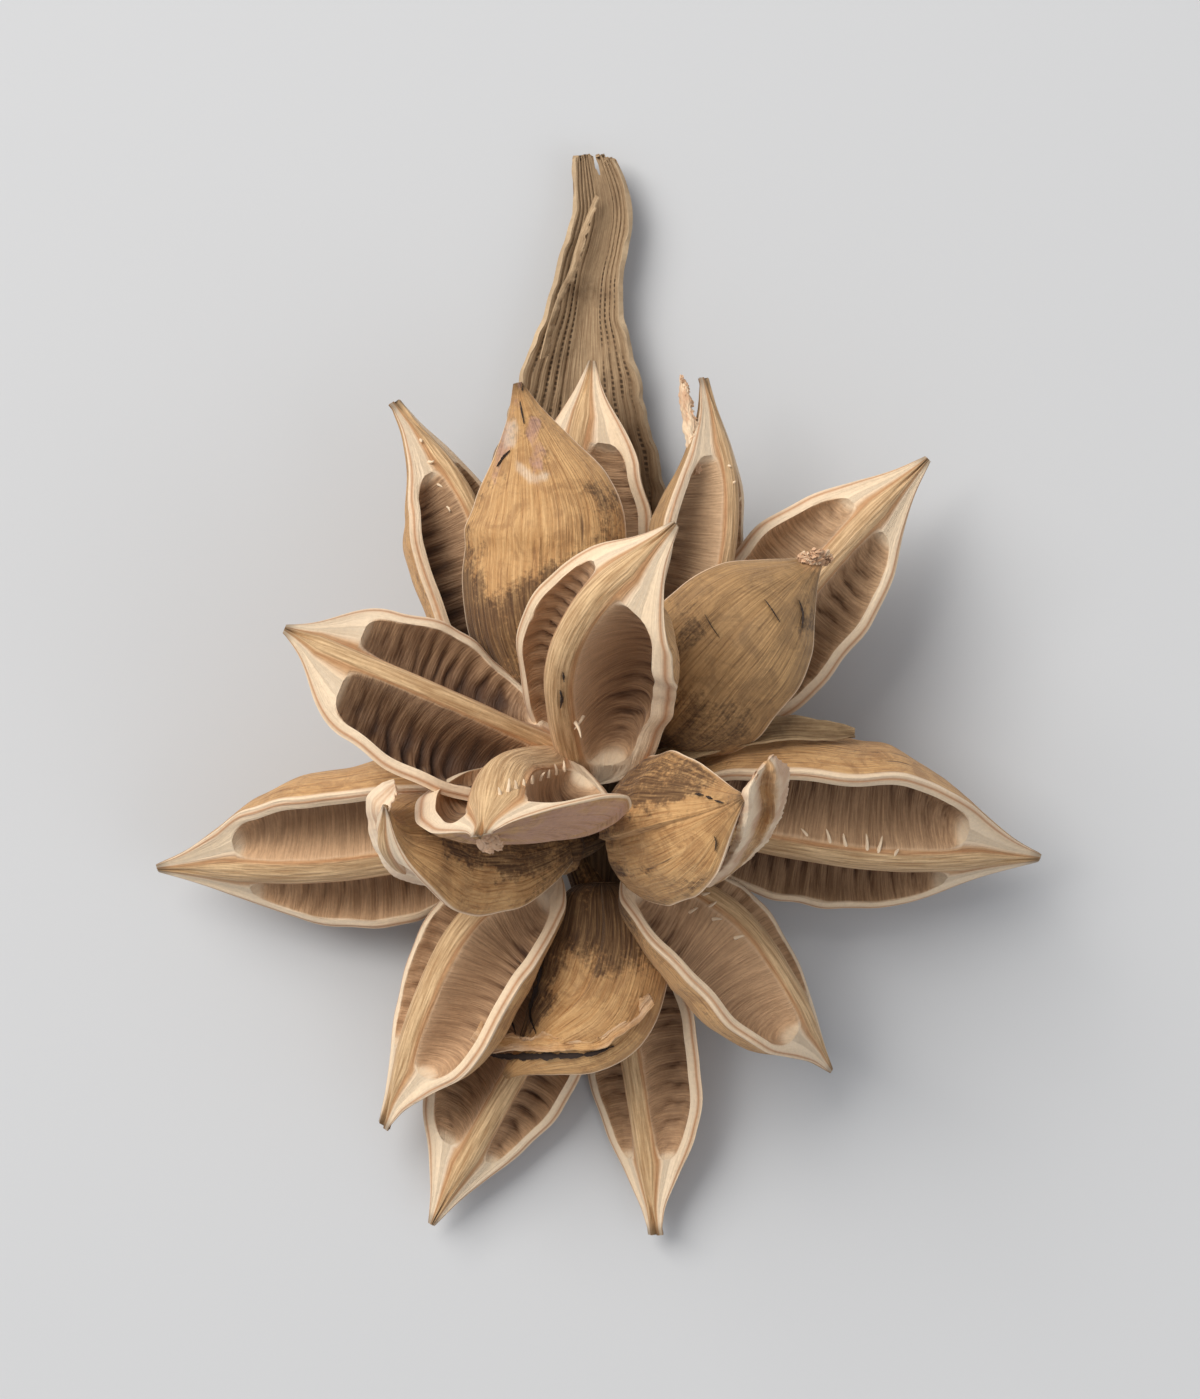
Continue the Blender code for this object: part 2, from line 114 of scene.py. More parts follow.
def ringMesh(name, tubes, smoothAngle=50):
    # one mesh from closed tubes, each with points (n, m, 3) in mm and its own colour layers
    points, faces, layers, base = [], [], {}, 0
    for tube in tubes:
        rings = tube["points"]
        n, m = rings.shape[:2]
        i, j = np.meshgrid(np.arange(n - 1), np.arange(m), indexing="ij")
        k = (j + 1) % m
        quads = np.stack([i * m + j, i * m + k, (i + 1) * m + k, (i + 1) * m + j], -1).reshape(-1, 4) + base
        faces += quads.tolist()
        points.append(rings.reshape(-1, 3))
        closing = 0 if tube.get("sheet") else 2
        if closing:
            points.append(np.array([rings[0].mean(0), rings[-1].mean(0)]))
            first, last = base + n * m, base + n * m + 1
            faces += [(first, base + (c + 1) % m, base + c) for c in range(m)]
            faces += [(last, base + (n - 1) * m + c, base + (n - 1) * m + (c + 1) % m) for c in range(m)]
        else:
            for row in (base, base + (n - 1) * m):
                faces += [(row + c, row + c + 1, row + m - 2 - c, row + m - 1 - c) for c in range(m // 2 - 1)]
        for layer in ("grain", "zone", "shade", "wash"):
            value = tube.get(layer, np.zeros(rings.shape))
            layers.setdefault(layer, []).append(value.reshape(-1, 3))
            if closing:
                layers[layer].append(np.array([value[0].mean(0), value[-1].mean(0)]))
        base += n * m + closing
    mesh = bpy.data.meshes.new(name)
    mesh.from_pydata((np.vstack(points) * mm).tolist(), [], faces)
    for layer, values in layers.items():
        attribute = mesh.attributes.new(layer, "FLOAT_VECTOR", "POINT")
        attribute.data.foreach_set("vector", np.vstack(values).astype(np.float32).ravel())
    piece = bpy.data.objects.new(name, mesh)
    bpy.context.scene.collection.objects.link(piece)
    bpy.ops.object.select_all(action="DESELECT")
    piece.select_set(True)
    bpy.context.view_layer.objects.active = piece
    bpy.ops.object.mode_set(mode="EDIT")
    bpy.ops.mesh.select_all(action="SELECT")
    bpy.ops.mesh.normals_make_consistent(inside=False)
    bpy.ops.object.mode_set(mode="OBJECT")
    bpy.ops.object.shade_smooth_by_angle(angle=math.radians(smoothAngle))
    piece.select_set(False)
    return piece


def grainOf(rings, runLength, middleShare=0.45):  # fibre coordinates: round a cylinder and along it, in mm
    n, m = rings.shape[:2]
    middle = rings[int(n * middleShare)]
    step = np.linalg.norm(np.roll(middle, -1, axis=0) - middle, axis=1)
    turn = np.concatenate([[0], np.cumsum(step)[:-1]]) / step.sum() * math.tau
    radius = step.sum() / math.tau
    grain = np.zeros((n, m, 3))
    grain[..., 0] = np.cos(turn) * radius
    grain[..., 1] = np.sin(turn) * radius
    grain[..., 2] = runLength[:, None]
    return grain


view = {
    "distance": 1.5,        # m from the camera to the table
    "mmPerPixel": 0.285,    # at the table
    "centre": (598, 699),   # the pixel that shows the frame's origin
    "imageSize": (1200, 1399),
}


def seen(px, py, z):  # the point in mm, at height z, that the camera sees at a place in its picture
    nearer = 1 - z / (view["distance"] * 1000)
    return np.array([(px - view["centre"][0]) * view["mmPerPixel"] * nearer,
                     (view["centre"][1] - py) * view["mmPerPixel"] * nearer, z])


def inPicture(points):  # where the camera sees points given in mm
    nearer = 1 - points[..., 2] / (view["distance"] * 1000)
    return (view["centre"][0] + points[..., 0] / view["mmPerPixel"] / nearer,
            view["centre"][1] - points[..., 1] / view["mmPerPixel"] / nearer)


def onSurface(tube, px, py, lift=0.0):  # the point of a tube that the camera sees at a place in its picture
    nearby, spread, soften = 30, 20, 0.3  # squared pixels
    topLayer = 5  # mm
    points = tube["points"].reshape(-1, 3)
    x, y = inPicture(points)
    apart = (x - px) ** 2 + (y - py) ** 2
    near = apart < max(nearby, apart.min() + spread)
    z, apart = points[near, 2], apart[near]
    upper = z > z.max() - topLayer
    weight = 1 / (apart[upper] + soften) ** 2
    return seen(px, py, (z[upper] * weight).sum() / weight.sum() + lift)


def within(x, y, corners, soft, notches=7):  # 1 inside a ragged outline in the picture, 0 outside
    corners = np.array(corners, float)
    inside, nearest = np.zeros(x.shape, bool), np.full(x.shape, np.inf)
    for (ax, ay), (bx, by) in zip(corners, np.roll(corners, -1, axis=0)):
        wide, high = bx - ax, by - ay
        inside ^= ((ay > y) != (by > y)) & (x < wide * (y - ay) / (high + 1e-9) + ax)
        share = np.clip(((x - ax) * wide + (y - ay) * high) / (wide ** 2 + high ** 2), 0, 1)
        nearest = np.minimum(nearest, np.hypot(x - ax - share * wide, y - ay - share * high))
    edge = np.where(inside, nearest, -nearest) + soft * waves(61, x / notches, y / notches)
    return smoothStep(-soft, soft, edge)


# The valves: each is a third of a capsule, with its ridge inside and a hollow on each side of it

valveLook = {
    "rim": (3.6, 3.6),      # mm, the pale cut face outside each hollow
    "wall": 2.6,
    "cavity": (0.08, 0.77),  # where the hollow starts and ends along the valve
    "ribPitch": 5.6,        # mm between the soft ribs that the seeds left
    "ribDepth": 1.5,
    "ripple": 0.4,          # mm, unevenness of the hollow
    "swell": 0.25,          # mm, unevenness of the outside
    "lip": 0.35,            # mm, how far the cut face bulges
    "line": (0.68, 0.14),   # place and width of the brown line across the cut face
    "crown": 0.12,          # height of the ridge as a share of its half width
    "halfRidge": 3.6,
    "margin": (66, 66),     # degrees from the back to each margin, at the root and at the beak
    "root": 0.34,           # size of the root as a share of the radius
    "tip": 1.1,             # mm, and the tip where the beak is forked
    "forkedTip": 1.9,
    "wander": 0.022,        # how far the margins wander, as a share of the radius
    "stain": (0.12, 0.55),  # how far the darkening at the root reaches, and its strength
    "stainSoft": 0.13,
    "burnt": 0.5,           # darkness of the beak's end
    "patchSoft": {"shade": 9, "wash": 3},  # pixels
    "outline": [(0.2, 0.88), (0.38, 1.0), (0.55, 0.97), (0.7, 0.78), (0.82, 0.46), (0.92, 0.2), (1, 0.05)],
    "stations": 150,
    "pointsOnRidge": 5,
    "pointsInHollow": 22,
    "pointsOnRim": 6,
    "pointsOutside": 24,
    "aboveTable": 0.2,      # mm, where the underside of a valve is pressed flat
}
seenFromBehind = {"pointsOutside": 56, "pointsInHollow": 12}  # the first valve of all but the centre capsule

# the colour layers that a patch can paint: the layer and its channel
paints = {"stain": ("shade", 1), "felt": ("wash", 0), "bloom": ("wash", 1)}

# two places, as outlines in the picture, where the skin has come off the upper left capsule
peeledLong = [(521, 378), (505, 420), (486, 474), (494, 486), (508, 462), (520, 440)]
peeledShort = [(527, 415), (539, 418), (546, 455), (542, 472), (532, 476), (526, 440)]

# Each valve has its ridge line in mm and the way its hollows face at the root and at the beak. The pairs are
# for its two sides: wide and deep are shares of the radius, rim is in mm, turn is in degrees, gloom adds
# painted shade to the hollow and felt colours the outside. A patch is an outline in the picture with what
# paints it; the darkening patches paint stains, and in places painted shadow cast by other parts.

capsules = {
    "capsule_centre": {
        "base": (-8, -19, 54), "foot": (0, -19, 24), "look": "straw",
        "valves": [
            {"ridge": [(-9, -13, 64), (-43, 2, 84), (-84, 19, 88)],
             "face": [(0.3, 0.4, 0.87), (0.15, 0.3, 0.94)], "radius": 27, "halfRidge": 2.8,
             "wide": (0.94, 0.98), "full": 0.18, "gloom": (0.6, 0.4)},
            {"ridge": [(-8, -24, 58), (-12, 5, 94), (-2, 27, 117), (20, 46, 125)],
             "face": [(-0.45, -0.62, 0.62), (-0.55, 0.1, 0.8)], "radius": 26.5, "margin": (62, 62),
             "halfRidge": 5, "wide": (0.77, 1.25), "root": 0.58, "full": 0.13, "rim": (3.6, 6.2)},
            {"ridge": [(-13, -13, 66), (-26, -17, 97), (-31, -35, 126)],
             "face": [(0.0, 0.7, 0.7), (-0.2, 0.8, 0.6)], "radius": 25, "margin": (72, 76),
             "halfRidge": 9.5, "wide": (1.5, 1.36), "deep": (0.6, 0.7), "turn": (0, -29), "rim": (3.6, 9),
             "felt": (0.85, 0.5), "fork": 1.6},
        ],
    },
    "capsule_upper_left": {
        "base": (-6, -5, 41), "foot": (-1, -3, 22), "look": "straw",
        "valves": [
            {"ridge": [(-6, -5, 39), (-13, 24, 42), (-14, 54, 46), (-22, 87, 54)],
             # its root half is strongly darkened: stain, and painted shadow of the centre capsule
             "face": [(0.1, 0, -1), (0.1, 0, -1)], "radius": 25.5, "stain": (0.46, 0.95),
             "patches": [(peeledLong, "felt", 0.9), (peeledLong, "stain", 0.4),
                         (peeledShort, "stain", 0.4), (peeledShort, "felt", 0.85),
                         ([(516, 460), (534, 474), (548, 474), (546, 480), (530, 482), (518, 470)],
                          "bloom", 0.5),
                         ([(505, 422), (516, 420), (514, 446), (506, 447)], "bloom", 0.5),
                         ([(592, 486), (630, 480), (632, 560), (600, 552)], "stain", 0.55),
                         ([(462, 470), (474, 470), (468, 640), (456, 620)], "stain", 0.6)]},
            {"ridge": [(-8, -4, 42), (-24, 27, 46), (-36, 58, 44), (-56, 83, 38)],
             "face": [(0.75, 0.2, 0.6), (0.75, 0.2, 0.6)], "radius": 24, "fork": 1.8, "burnt": 0.6,
             "gloom": (0.5, 0.5)},
            {"ridge": [(-4, -5, 37), (-8, 28, 33), (-8, 64, 29), (-2, 95, 24)],
             "face": [(-0.6, 0, 0.8), (-0.6, 0, 0.8)], "radius": 27, "wide": (1.0, 0.9), "full": 0.12},
        ],
    },
    "capsule_upper_right": {
        "base": (19, -9, 44), "foot": (3, -10, 24), "look": "weathered",
        "valves": [
            {"ridge": [(18, -9, 46), (29, 5, 54), (43, 21, 61), (61, 39, 64)],
             "face": [(0.1, 0, -1), (0.1, 0, -1)], "radius": 24.5,
             "patches": [([(672, 600), (700, 590), (704, 640), (680, 660)], "stain", 0.4),
                         ([(660, 680), (740, 700), (770, 750), (680, 770)], "stain", 0.42),
                         ([(800, 556), (832, 552), (828, 572), (806, 570)], "bloom", 0.7),
                         ([(812, 590), (836, 590), (822, 640), (806, 630)], "stain", 0.45)]},
            {"ridge": [(19, -4, 42), (34, 27, 50), (38, 58, 50), (30, 89, 44)],
             "face": [(0.8, 0.2, 0.5), (0.8, 0.2, 0.5)], "radius": 24, "wide": (1, 0.88), "fork": 1.6,
             "burnt": 0.5},
            {"ridge": [(23, -10, 42), (45, 16, 46), (70, 45, 42), (92, 67, 34)],
             "face": [(0, 0, 1), (0, 0, 1)], "radius": 23.5},
        ],
    },
    "capsule_right": {
        "base": (12, -38, 42), "foot": (3, -33, 27), "look": "straw",
        "valves": [
            {"ridge": [(10, -38, 44), (18, -38, 52), (29, -36, 69), (37, -32, 91), (39, -26, 114)],
             "face": [(0.8, 0, -0.6), (0.95, 0.15, 0.2)], "radius": 26, "margin": (62, 64),
             "wide": (0.85, 0.95), "root": 0.55, "deep": (1.12, 1.12),
             "patches": [([(590, 764), (650, 740), (706, 746), (716, 784), (650, 806), (594, 826)], "stain",
                          0.62),
                         ([(590, 820), (612, 815), (622, 890), (600, 880)], "stain", 0.55),
                         ([(640, 870), (700, 880), (690, 906), (640, 902)], "stain", 0.35)]},
            {"ridge": [(16, -34, 40), (53, -42, 44), (84, -46, 40), (124, -45, 24)],
             "face": [(0, -0.85, 0.52), (0, -0.7, 0.7)], "radius": 30, "margin": (84, 76),
             "halfRidge": 4.4, "gloom": (0.3, 0.4), "wide": (1.12, 1)},
            {"ridge": [(11, -42, 38), (39, -58, 44), (56, -81, 36), (66, -104, 22)],
             "face": [(0.66, 0.53, 0.53), (0.66, 0.53, 0.53)], "radius": 26, "margin": (72, 72),
             "halfRidge": 4.6, "wide": (0.8, 1.24), "root": 0.45, "deep": (0.85, 0.85)},
        ],
    },
    "capsule_left": {
        "base": (-11, -41, 42), "foot": (-1, -38, 28), "look": "straw",
        "valves": [
            {"ridge": [(-9, -40, 44), (-30, -46, 48), (-50, -48, 64), (-58, -41, 86), (-57, -29, 100)],
             "face": [(-0.2, -0.3, -0.95), (-0.75, -0.5, 0.3)], "radius": 23, "margin": (66, 66),
             "wide": (1.0, 0.85),
             # painted shadow that the centre capsule casts on this valve's outside
             "patches": [([(420, 800), (580, 830), (580, 870), (500, 880), (440, 850)], "stain", 0.7)]},
            {"ridge": [(-14, -40, 40), (-50, -45, 42), (-83, -49, 36), (-124, -48, 20)],
             "face": [(0, -0.8, 0.6), (0, -0.65, 0.76)], "radius": 28, "margin": (86, 76),
             "halfRidge": 4.4, "wide": (1, 1.05)},
            {"ridge": [(-14, -44, 38), (-37, -60, 45), (-51, -86, 38), (-61, -120, 20)],
             "face": [(-0.65, 0.3, 0.65), (-0.65, 0.3, 0.65)], "radius": 26, "margin": (70, 70),
             "halfRidge": 4.6, "wide": (1.05, 0.85), "root": 0.42, "fork": 1.8, "burnt": 0.6},
        ],
    },
    "capsule_lower": {
        "base": (0, -58, 30), "foot": (-5, -45, 26), "look": "straw",
        "valves": [
            {"ridge": [(1, -51, 33), (1, -70, 32), (-6, -89, 33), (-26, -105, 36)],
             "face": [(0, 0, -1), (0, -0.6, -0.8)], "radius": 22, "margin": (68, 80),
             "wide": (0.78, 1.0), "root": 0.6, "rim": (3.6, 5.5), "deep": (0.8, 0.8), "stain": (0.34, 0.95),
             "patches": [([(545, 900), (580, 900), (560, 990), (530, 1040), (500, 1040), (530, 960)],
                          "stain", 0.75),
                         ([(470, 1052), (600, 1054), (580, 1075), (500, 1090), (470, 1075)], "felt", 0.55)]},
            {"ridge": [(-2, -58, 27), (-15, -90, 26), (-30, -118, 21), (-47, -149, 10)],
             "face": [(0.25, 0.1, 0.96), (0.25, 0.1, 0.96)], "radius": 24, "wide": (0.85, 1.08)},
            {"ridge": [(2, -58, 26), (6, -87, 23), (10, -112, 18), (16, -152, 9)],
             "face": [(-0.5, 0, 0.85), (-0.5, 0, 0.85)], "radius": 21, "fork": 1.5, "burnt": 0.6,
             "deep": (0.88, 0.88)},
        ],
    },
}


def polar(angle, r):  # a point of a section, as (across, up) in mm: angle 0 is the middle of the back
    return np.stack([np.sin(angle) * r, -np.cos(angle) * r], -1)


def blend(a, b, s):
    return a + (b - a) * s


def tipDip(t, size):  # mm that the ridge sinks between the margins near the beak
    return smoothStep(0.8, 0.97, t) * np.minimum(1.3, 0.5 * size)


def valveSide(look, size, angle, halfRidge, opening, t, run, seed, rimWidth, flat, ridgeShare):
    # one side of the section at every station, from the ridge through the hollow and over the rim to the back
    ridge = np.minimum(halfRidge, ridgeShare * size)
    start = polar(angle, ridge + np.minimum(0.5, 0.1 * size))
    rim = np.minimum(rimWidth, 0.25 * size)
    end = polar(angle, size - rim)
    hollow = size - look["wall"]
    none = 0 * t
    rows, zones, shades = [], [], []

    def put(point, zone, shade):  # zone is rim, cavity and ridge; shade is deep (painted shade), stain with painted shadow, and line
        rows.append(point)
        zones.append(np.stack([none + part for part in zone], -1))
        shades.append(np.stack([none + part for part in shade], -1))

    count = look["pointsOnRidge"]
    for k in range(1, count + 1):
        f = k / count
        x = f * np.sin(angle) * ridge
        y = look["crown"] * ridge - (look["crown"] + np.cos(angle)) * ridge * f * f
        y = y - tipDip(t, size) * np.exp(-(f / 0.3) ** 2) * (f < 0.95)
        put(np.stack([x, y], -1), (0, 0, 1), (0, 0, 0.9 * (k == count)))
    count = look["pointsInHollow"]
    handleA, handleB = polar(0.12 * angle, 1.12 * hollow), polar(0.66 * angle, 1.3 * hollow)
    rootShade = 0.5 * smoothStep(0.45, 0.1, t) * opening
    inside = smoothStep(0.1, 0.6, opening)
    for k in range(1, count + 1):
        s = (k - 0.5) / count
        arch = math.sin(math.pi * s)
        phase = (run / look["ribPitch"] * math.tau + 2.4 * math.sin(2.6 * s)
                 + 2.2 * waves(seed + 3, t * 9, 3 * s + none))
        strength = 0.55 + 0.45 * waves(seed + 9, t * 7, 4 * s + none)
        fold = np.abs(np.sin(phase / 2))
        rib = look["ribDepth"] * strength * fold * arch ** 0.7 * 1.4
        rib = rib + look["ripple"] * waves(seed + 5, run / 5, s * 4 + none)
        wall = ((1 - s) ** 3 * start + 3 * s * (1 - s) ** 2 * handleA
                + 3 * s * s * (1 - s) * handleB + s ** 3 * end)
        inward = -wall / np.maximum(np.linalg.norm(wall, axis=-1, keepdims=True), 1e-6)
        wall = wall + inward * (rib * opening)[:, None]
        edge = blend(start, end, 0.5 + (s - 0.5) * (0.4 + 0.6 * opening)[:, None])
        # painted shade: the hollow is darker the deeper it is, in the creases between the ribs, and towards
        # the root
        ribShade = (1 - fold) ** 1.6 * strength
        deep = opening * arch ** 0.8 * (0.5 + 0.9 * ribShade) + rootShade * arch ** 0.5
        put(blend(edge, wall, opening[:, None]), (1 - inside, inside, 0), (deep, 0, 0))
    count = look["pointsOnRim"]
    place, width = look["line"]
    tangent = polar(angle + math.pi / 2, 1.0 + 0 * size)
    for k in range(count + 1):
        f = k / count
        lip = look["lip"] * math.sin(math.pi * f) * np.minimum(1, size / 10)
        line = math.exp(-((f - place) / width) ** 2)
        put(polar(angle, size - rim * (1 - f)) + tangent * lip[:, None], (1, 0, 0), (0, 0, line))
    count = look["pointsOutside"]
    for k in range(1, count):
        share = 1 - k / count
        swell = look["swell"] * waves(seed + 11, t * 6, share * 9 + none) * smoothStep(1, 0.85, share)
        fade = math.exp(-((1 - share) / 0.05) ** 2)
        put(polar(angle * share, size + swell), (fade * 0.6, 0, 0), (0, 0, fade * 0.5))
    return np.stack(rows, 1) * (1, flat), np.stack(zones, 1), np.stack(shades, 1)


def valveTube(shape, seed, look):
    def own(key, usual=None):  # what this valve says itself, or else the usual look
        return shape.get(key, look[key] if usual is None else usual)

    line = spine(shape["ridge"])
    t = np.linspace(0, 1, look["stations"])
    run = t * line[1][-1]
    origin, up, across = frames(line, t, *shape["face"])
    root, fork, halfRidge = own("root"), own("fork", 0), own("halfRidge")
    table = [(0, root), (0.07, 0.45 * (root + 1))] + look["outline"]
    size = shape["radius"] * (smoothCurve(table, t) + own("full", 0.0) * np.exp(-((t - 0.8) / 0.1) ** 2))
    if root > look["root"]:  # a broad root is rounded off
        size = size * (0.4 + 0.6 * np.sqrt(1 - np.clip(1 - t / 0.06, 0, 1) ** 2))
    size = np.maximum(size, look["forkedTip"] if fork else look["tip"])
    low, high = look["cavity"]
    x = np.abs(t - (low + high) / 2) / ((high - low) / 2)
    opening = np.clip(1 - x ** 3, 0, 1) ** 0.45
    margin = own("margin")
    angle = margin[0] + (margin[1] - margin[0]) * t * t
    ridgeShare = max(0.3, halfRidge / shape["radius"])
    deep, wide = own("deep", (1, 1)), own("wide", (1, 1))
    sides = []
    for k, (sign, share) in enumerate(zip((1, -1), wide)):
        wander = (1 + look["wander"] * waves(seed + 20 * k, run / 11, octaves=4)
                  * smoothStep(0, 0.15, t) * smoothStep(1, 0.8, t))
        turned = angle + own("turn", (0, 0))[k] + 2 * waves(seed + 20 * k + 7, run / 13, octaves=4)
        points, zone, shade = valveSide(look, size * share * wander, np.radians(turned), halfRidge, opening,
                                        t, run, seed + k, own("rim")[k], deep[k], ridgeShare)
        world = origin[:, None] + across[:, None] * (sign * points[..., :1]) + up[:, None] * points[..., 1:]
        parted = fork / 2 * smoothStep(0.9, 1, t) * smoothStep(0, 1.5, np.abs(points[..., 0]).max(1))
        world = world + across[:, None] * (sign * parted)[:, None, None]
        sides.append((world, zone, shade))

    def closed(top, part, back):  # the whole round of every section, from its two sides
        return np.concatenate([top, sides[0][part], back, sides[1][part][:, ::-1]], 1)

    ridge = np.minimum(halfRidge, ridgeShare * size)
    dip = tipDip(t, size) + (fork > 0) * smoothStep(0.9, 0.97, t) * 0.8 * size
    top = (origin + up * (look["crown"] * ridge - dip)[:, None])[:, None]
    back = (origin - up * (size * (deep[0] * wide[0] + deep[1] * wide[1]) / 2)[:, None])[:, None]
    none = np.zeros((len(t), 1, 3))
    rings, zone, shade = closed(top, 0, back), closed(none + (0, 0, 1), 1, none), closed(none, 2, none)
    rings[..., 2] = np.maximum(rings[..., 2], look["aboveTable"])
    grain = grainOf(rings, run) + np.array([seed * 17.0 % 97, seed * 31.0 % 89, seed * 13.0 % 83])
    # the outside darkens towards the root: a stain, and on some valves painted shadow as well
    (edge, strength), soft = own("stain"), look["stainSoft"]
    ragged = 0.08 * waves(seed + 31, rings[..., 0] / 7, rings[..., 1] / 7, rings[..., 2] / 7)
    shade[..., 1] = strength * smoothStep(edge + soft, edge - soft, t[:, None] + ragged)
    wash = np.zeros(rings.shape)  # felt, bloom and burn
    wash[..., 2] = own("burnt") * smoothStep(0.955, 0.995, t[:, None])
    half = rings.shape[1] // 2
    for k, columns in enumerate((slice(1, half), slice(half + 1, None))):
        wash[:, columns, 0] = own("felt", (0, 0))[k]
        # gloom adds painted shade to this side's hollow
        shade[:, columns, 0] += own("gloom", (0, 0))[k] * zone[:, columns, 1]
    wash[..., 0] *= np.clip(1 - zone.sum(-1), 0, 1)
    x, y = inPicture(rings)
    outside = np.clip(1 - zone[..., 1] - zone[..., 2] - 0.5 * zone[..., 0], 0, 1)
    layers = {"shade": shade, "wash": wash}
    for corners, paint, amount in own("patches", ()):
        layer, channel = paints[paint]
        mask = within(x, y, corners, look["patchSoft"][layer]) * amount * outside
        layers[layer][..., channel] = np.maximum(layers[layer][..., channel], mask)
    return {"points": rings, "grain": grain, "zone": zone, **layers}


# Round woody parts: the pedicels and the stalk

def stemTube(points, radii, seed, sides=40, stations=60, furrow=0.5):  # an uneven, lightly furrowed stem
    line = spine(points)
    t = np.linspace(0, 1, stations)
    upwards = (0.3, 0.2, 1)
    origin, up, across = frames(line, t, upwards, upwards)
    turn = np.linspace(0, math.tau, sides, endpoint=False)
    radius = smoothCurve(radii, t)[:, None] * (1 + 0 * turn)
    run = t[:, None] * line[1][-1] + 0 * turn
    radius = radius + furrow * (waves(seed, 3 * np.cos(turn) + 0 * run, 3 * np.sin(turn) + 0 * run, run / 14)
                                - 0.5 * np.abs(np.sin(turn * 7 + run / 20)))
    rings = (origin[:, None] + across[:, None] * (np.cos(turn) * radius)[..., None]
             + up[:, None] * (np.sin(turn) * radius)[..., None])
    none = np.zeros(rings.shape)
    return {"points": rings, "grain": grainOf(rings, run[:, 0]), "zone": none, "shade": none + (0, 0.75, 0)}


pedicelLook = {
    "radius": 5.0,
    "flare": 0.6,           # mm that it widens before the knob
    "knob": 8.5,            # mm, the swelling where the valves meet
    "shares": (0.95, 0.75),  # of the knob, at the join and halfway to the top
    "beyond": 0.9,          # how far the knob reaches past the join, in knobs
    "top": 1.5,
}


def pedicelTube(foot, base, seed, look=pedicelLook):
    foot, base = np.array(foot, float), np.array(base, float)
    length = np.linalg.norm(base - foot)
    beyond = base + (base - foot) / length * look["knob"] * look["beyond"]
    join = length / (length + look["knob"] * look["beyond"])
    atJoin, halfway = look["shares"]
    radii = [(0, look["radius"]), (join * 0.7, look["radius"] + look["flare"]), (join, look["knob"] * atJoin),
             (0.5 + join / 2, look["knob"] * halfway), (1, look["top"])]
    return stemTube([foot, (foot + beyond) / 2, beyond], radii, seed)


# Thin sheets: the bract, the bractlet and torn flaps

def sheetTube(top, thickness, grain=None, zone=None, shade=None):
    # a closed thin sheet under a grid of points, in mm
    alongStep, acrossStep = np.gradient(top, axis=0), np.gradient(top, axis=1)
    normal = unit(np.cross(alongStep, acrossStep))
    under = top - normal * np.broadcast_to(thickness, top.shape[:2])[..., None]
    n, m = top.shape[:2]
    none = np.zeros((n, m, 3))
    if grain is None:
        run = np.concatenate([[0], np.cumsum(np.linalg.norm(np.diff(top[:, m // 2], axis=0), axis=1))])
        wide = np.concatenate([[0], np.cumsum(np.linalg.norm(np.diff(top[n // 2], axis=0), axis=1))])
        grain = none + np.stack(np.broadcast_arrays(wide[None, :], 0.0, run[:, None]), -1)
    both = {"points": np.concatenate([top, under[:, ::-1]], 1), "sheet": True}
    for layer, value in (("grain", grain), ("zone", zone), ("shade", shade)):
        value = none if value is None else none + value
        both[layer] = np.concatenate([value, value[:, ::-1]], 1)
    return both


def curves(rows, n, m):  # a smooth grid of n by m points through a few rows of points
    lines = [spine([row[k] for row in rows]) for k in range(len(rows[0]))]
    down = np.stack([along(line, np.linspace(0, 1, n)) for line in lines], 1)
    return np.stack([along(spine(points), np.linspace(0, 1, m)) for points in down])


flapLook = {
    "rough": 0.6,           # mm, unevenness of the surface
    "fray": 1.1,            # mm, how ragged the loose edge is
    "pointsAcross": 30,
    "pointsForEachRow": 12,
    "extraPoints": 40,
}


def flapTube(rows, seed, thickness, bloom, skin, look=flapLook):  # a torn, curled scrap of wall
    n, m = look["extraPoints"] + look["pointsForEachRow"] * len(rows), look["pointsAcross"]
    rough, share = look["rough"], np.linspace(0, 1, m)
    i, j = np.meshgrid(np.linspace(0, 9, n), np.linspace(0, 4, m), indexing="ij")
    top = curves(rows, n, m)
    sideways = [0.5 * rough * waves(seed + k, i * 2.5, j) for k in (1, 2)]
    top = top + np.stack(sideways + [rough * waves(seed, i, j * 1.5)], -1)
    outwards = unit(top[:, -1] - top[:, 0])[:, None]
    top = top + outwards * (look["fray"] * waves(seed + 7, i * 5, 0 * j) * share ** 5)[..., None]
    edge = 1 - np.abs(np.linspace(-1, 1, m)) ** 6
    ends = np.sin(np.linspace(0.25, math.pi - 0.25, n))[:, None] ** 0.4
    body = thickness * (0.35 + 0.65 * edge)[None, :] * ends
    trough = np.exp(-((share - 0.6) / 0.16) ** 2) * (len(rows[0]) > 3)
    zone = np.stack([1 - skin - 0.75 * (1 - skin) * trough, 0 * trough, 0 * trough], -1)
    tube = sheetTube(top, body, zone=np.broadcast_to(zone, top.shape))
    pale = np.clip(0.6 + 0.8 * waves(seed + 4, i * 0.6, j), 0, 1)
    tube["wash"] = np.concatenate([pale, pale[:, ::-1]], 1)[..., None] * np.array((0, bloom, 0))
    brown = np.concatenate([0.45 + 0.8 * waves(seed + 5, i, j * 2), np.ones((n, m))], 1)
    tube["shade"][..., 2] = brown.clip(0, 1) * 0.7
    return tube


crackLook = {
    "lift": 0.06,           # mm above the surface
    "thickness": 0.9,
    "step": 0.5,            # mm between stations
    "fewest": 14,           # stations
    "dark": 1.2,
}


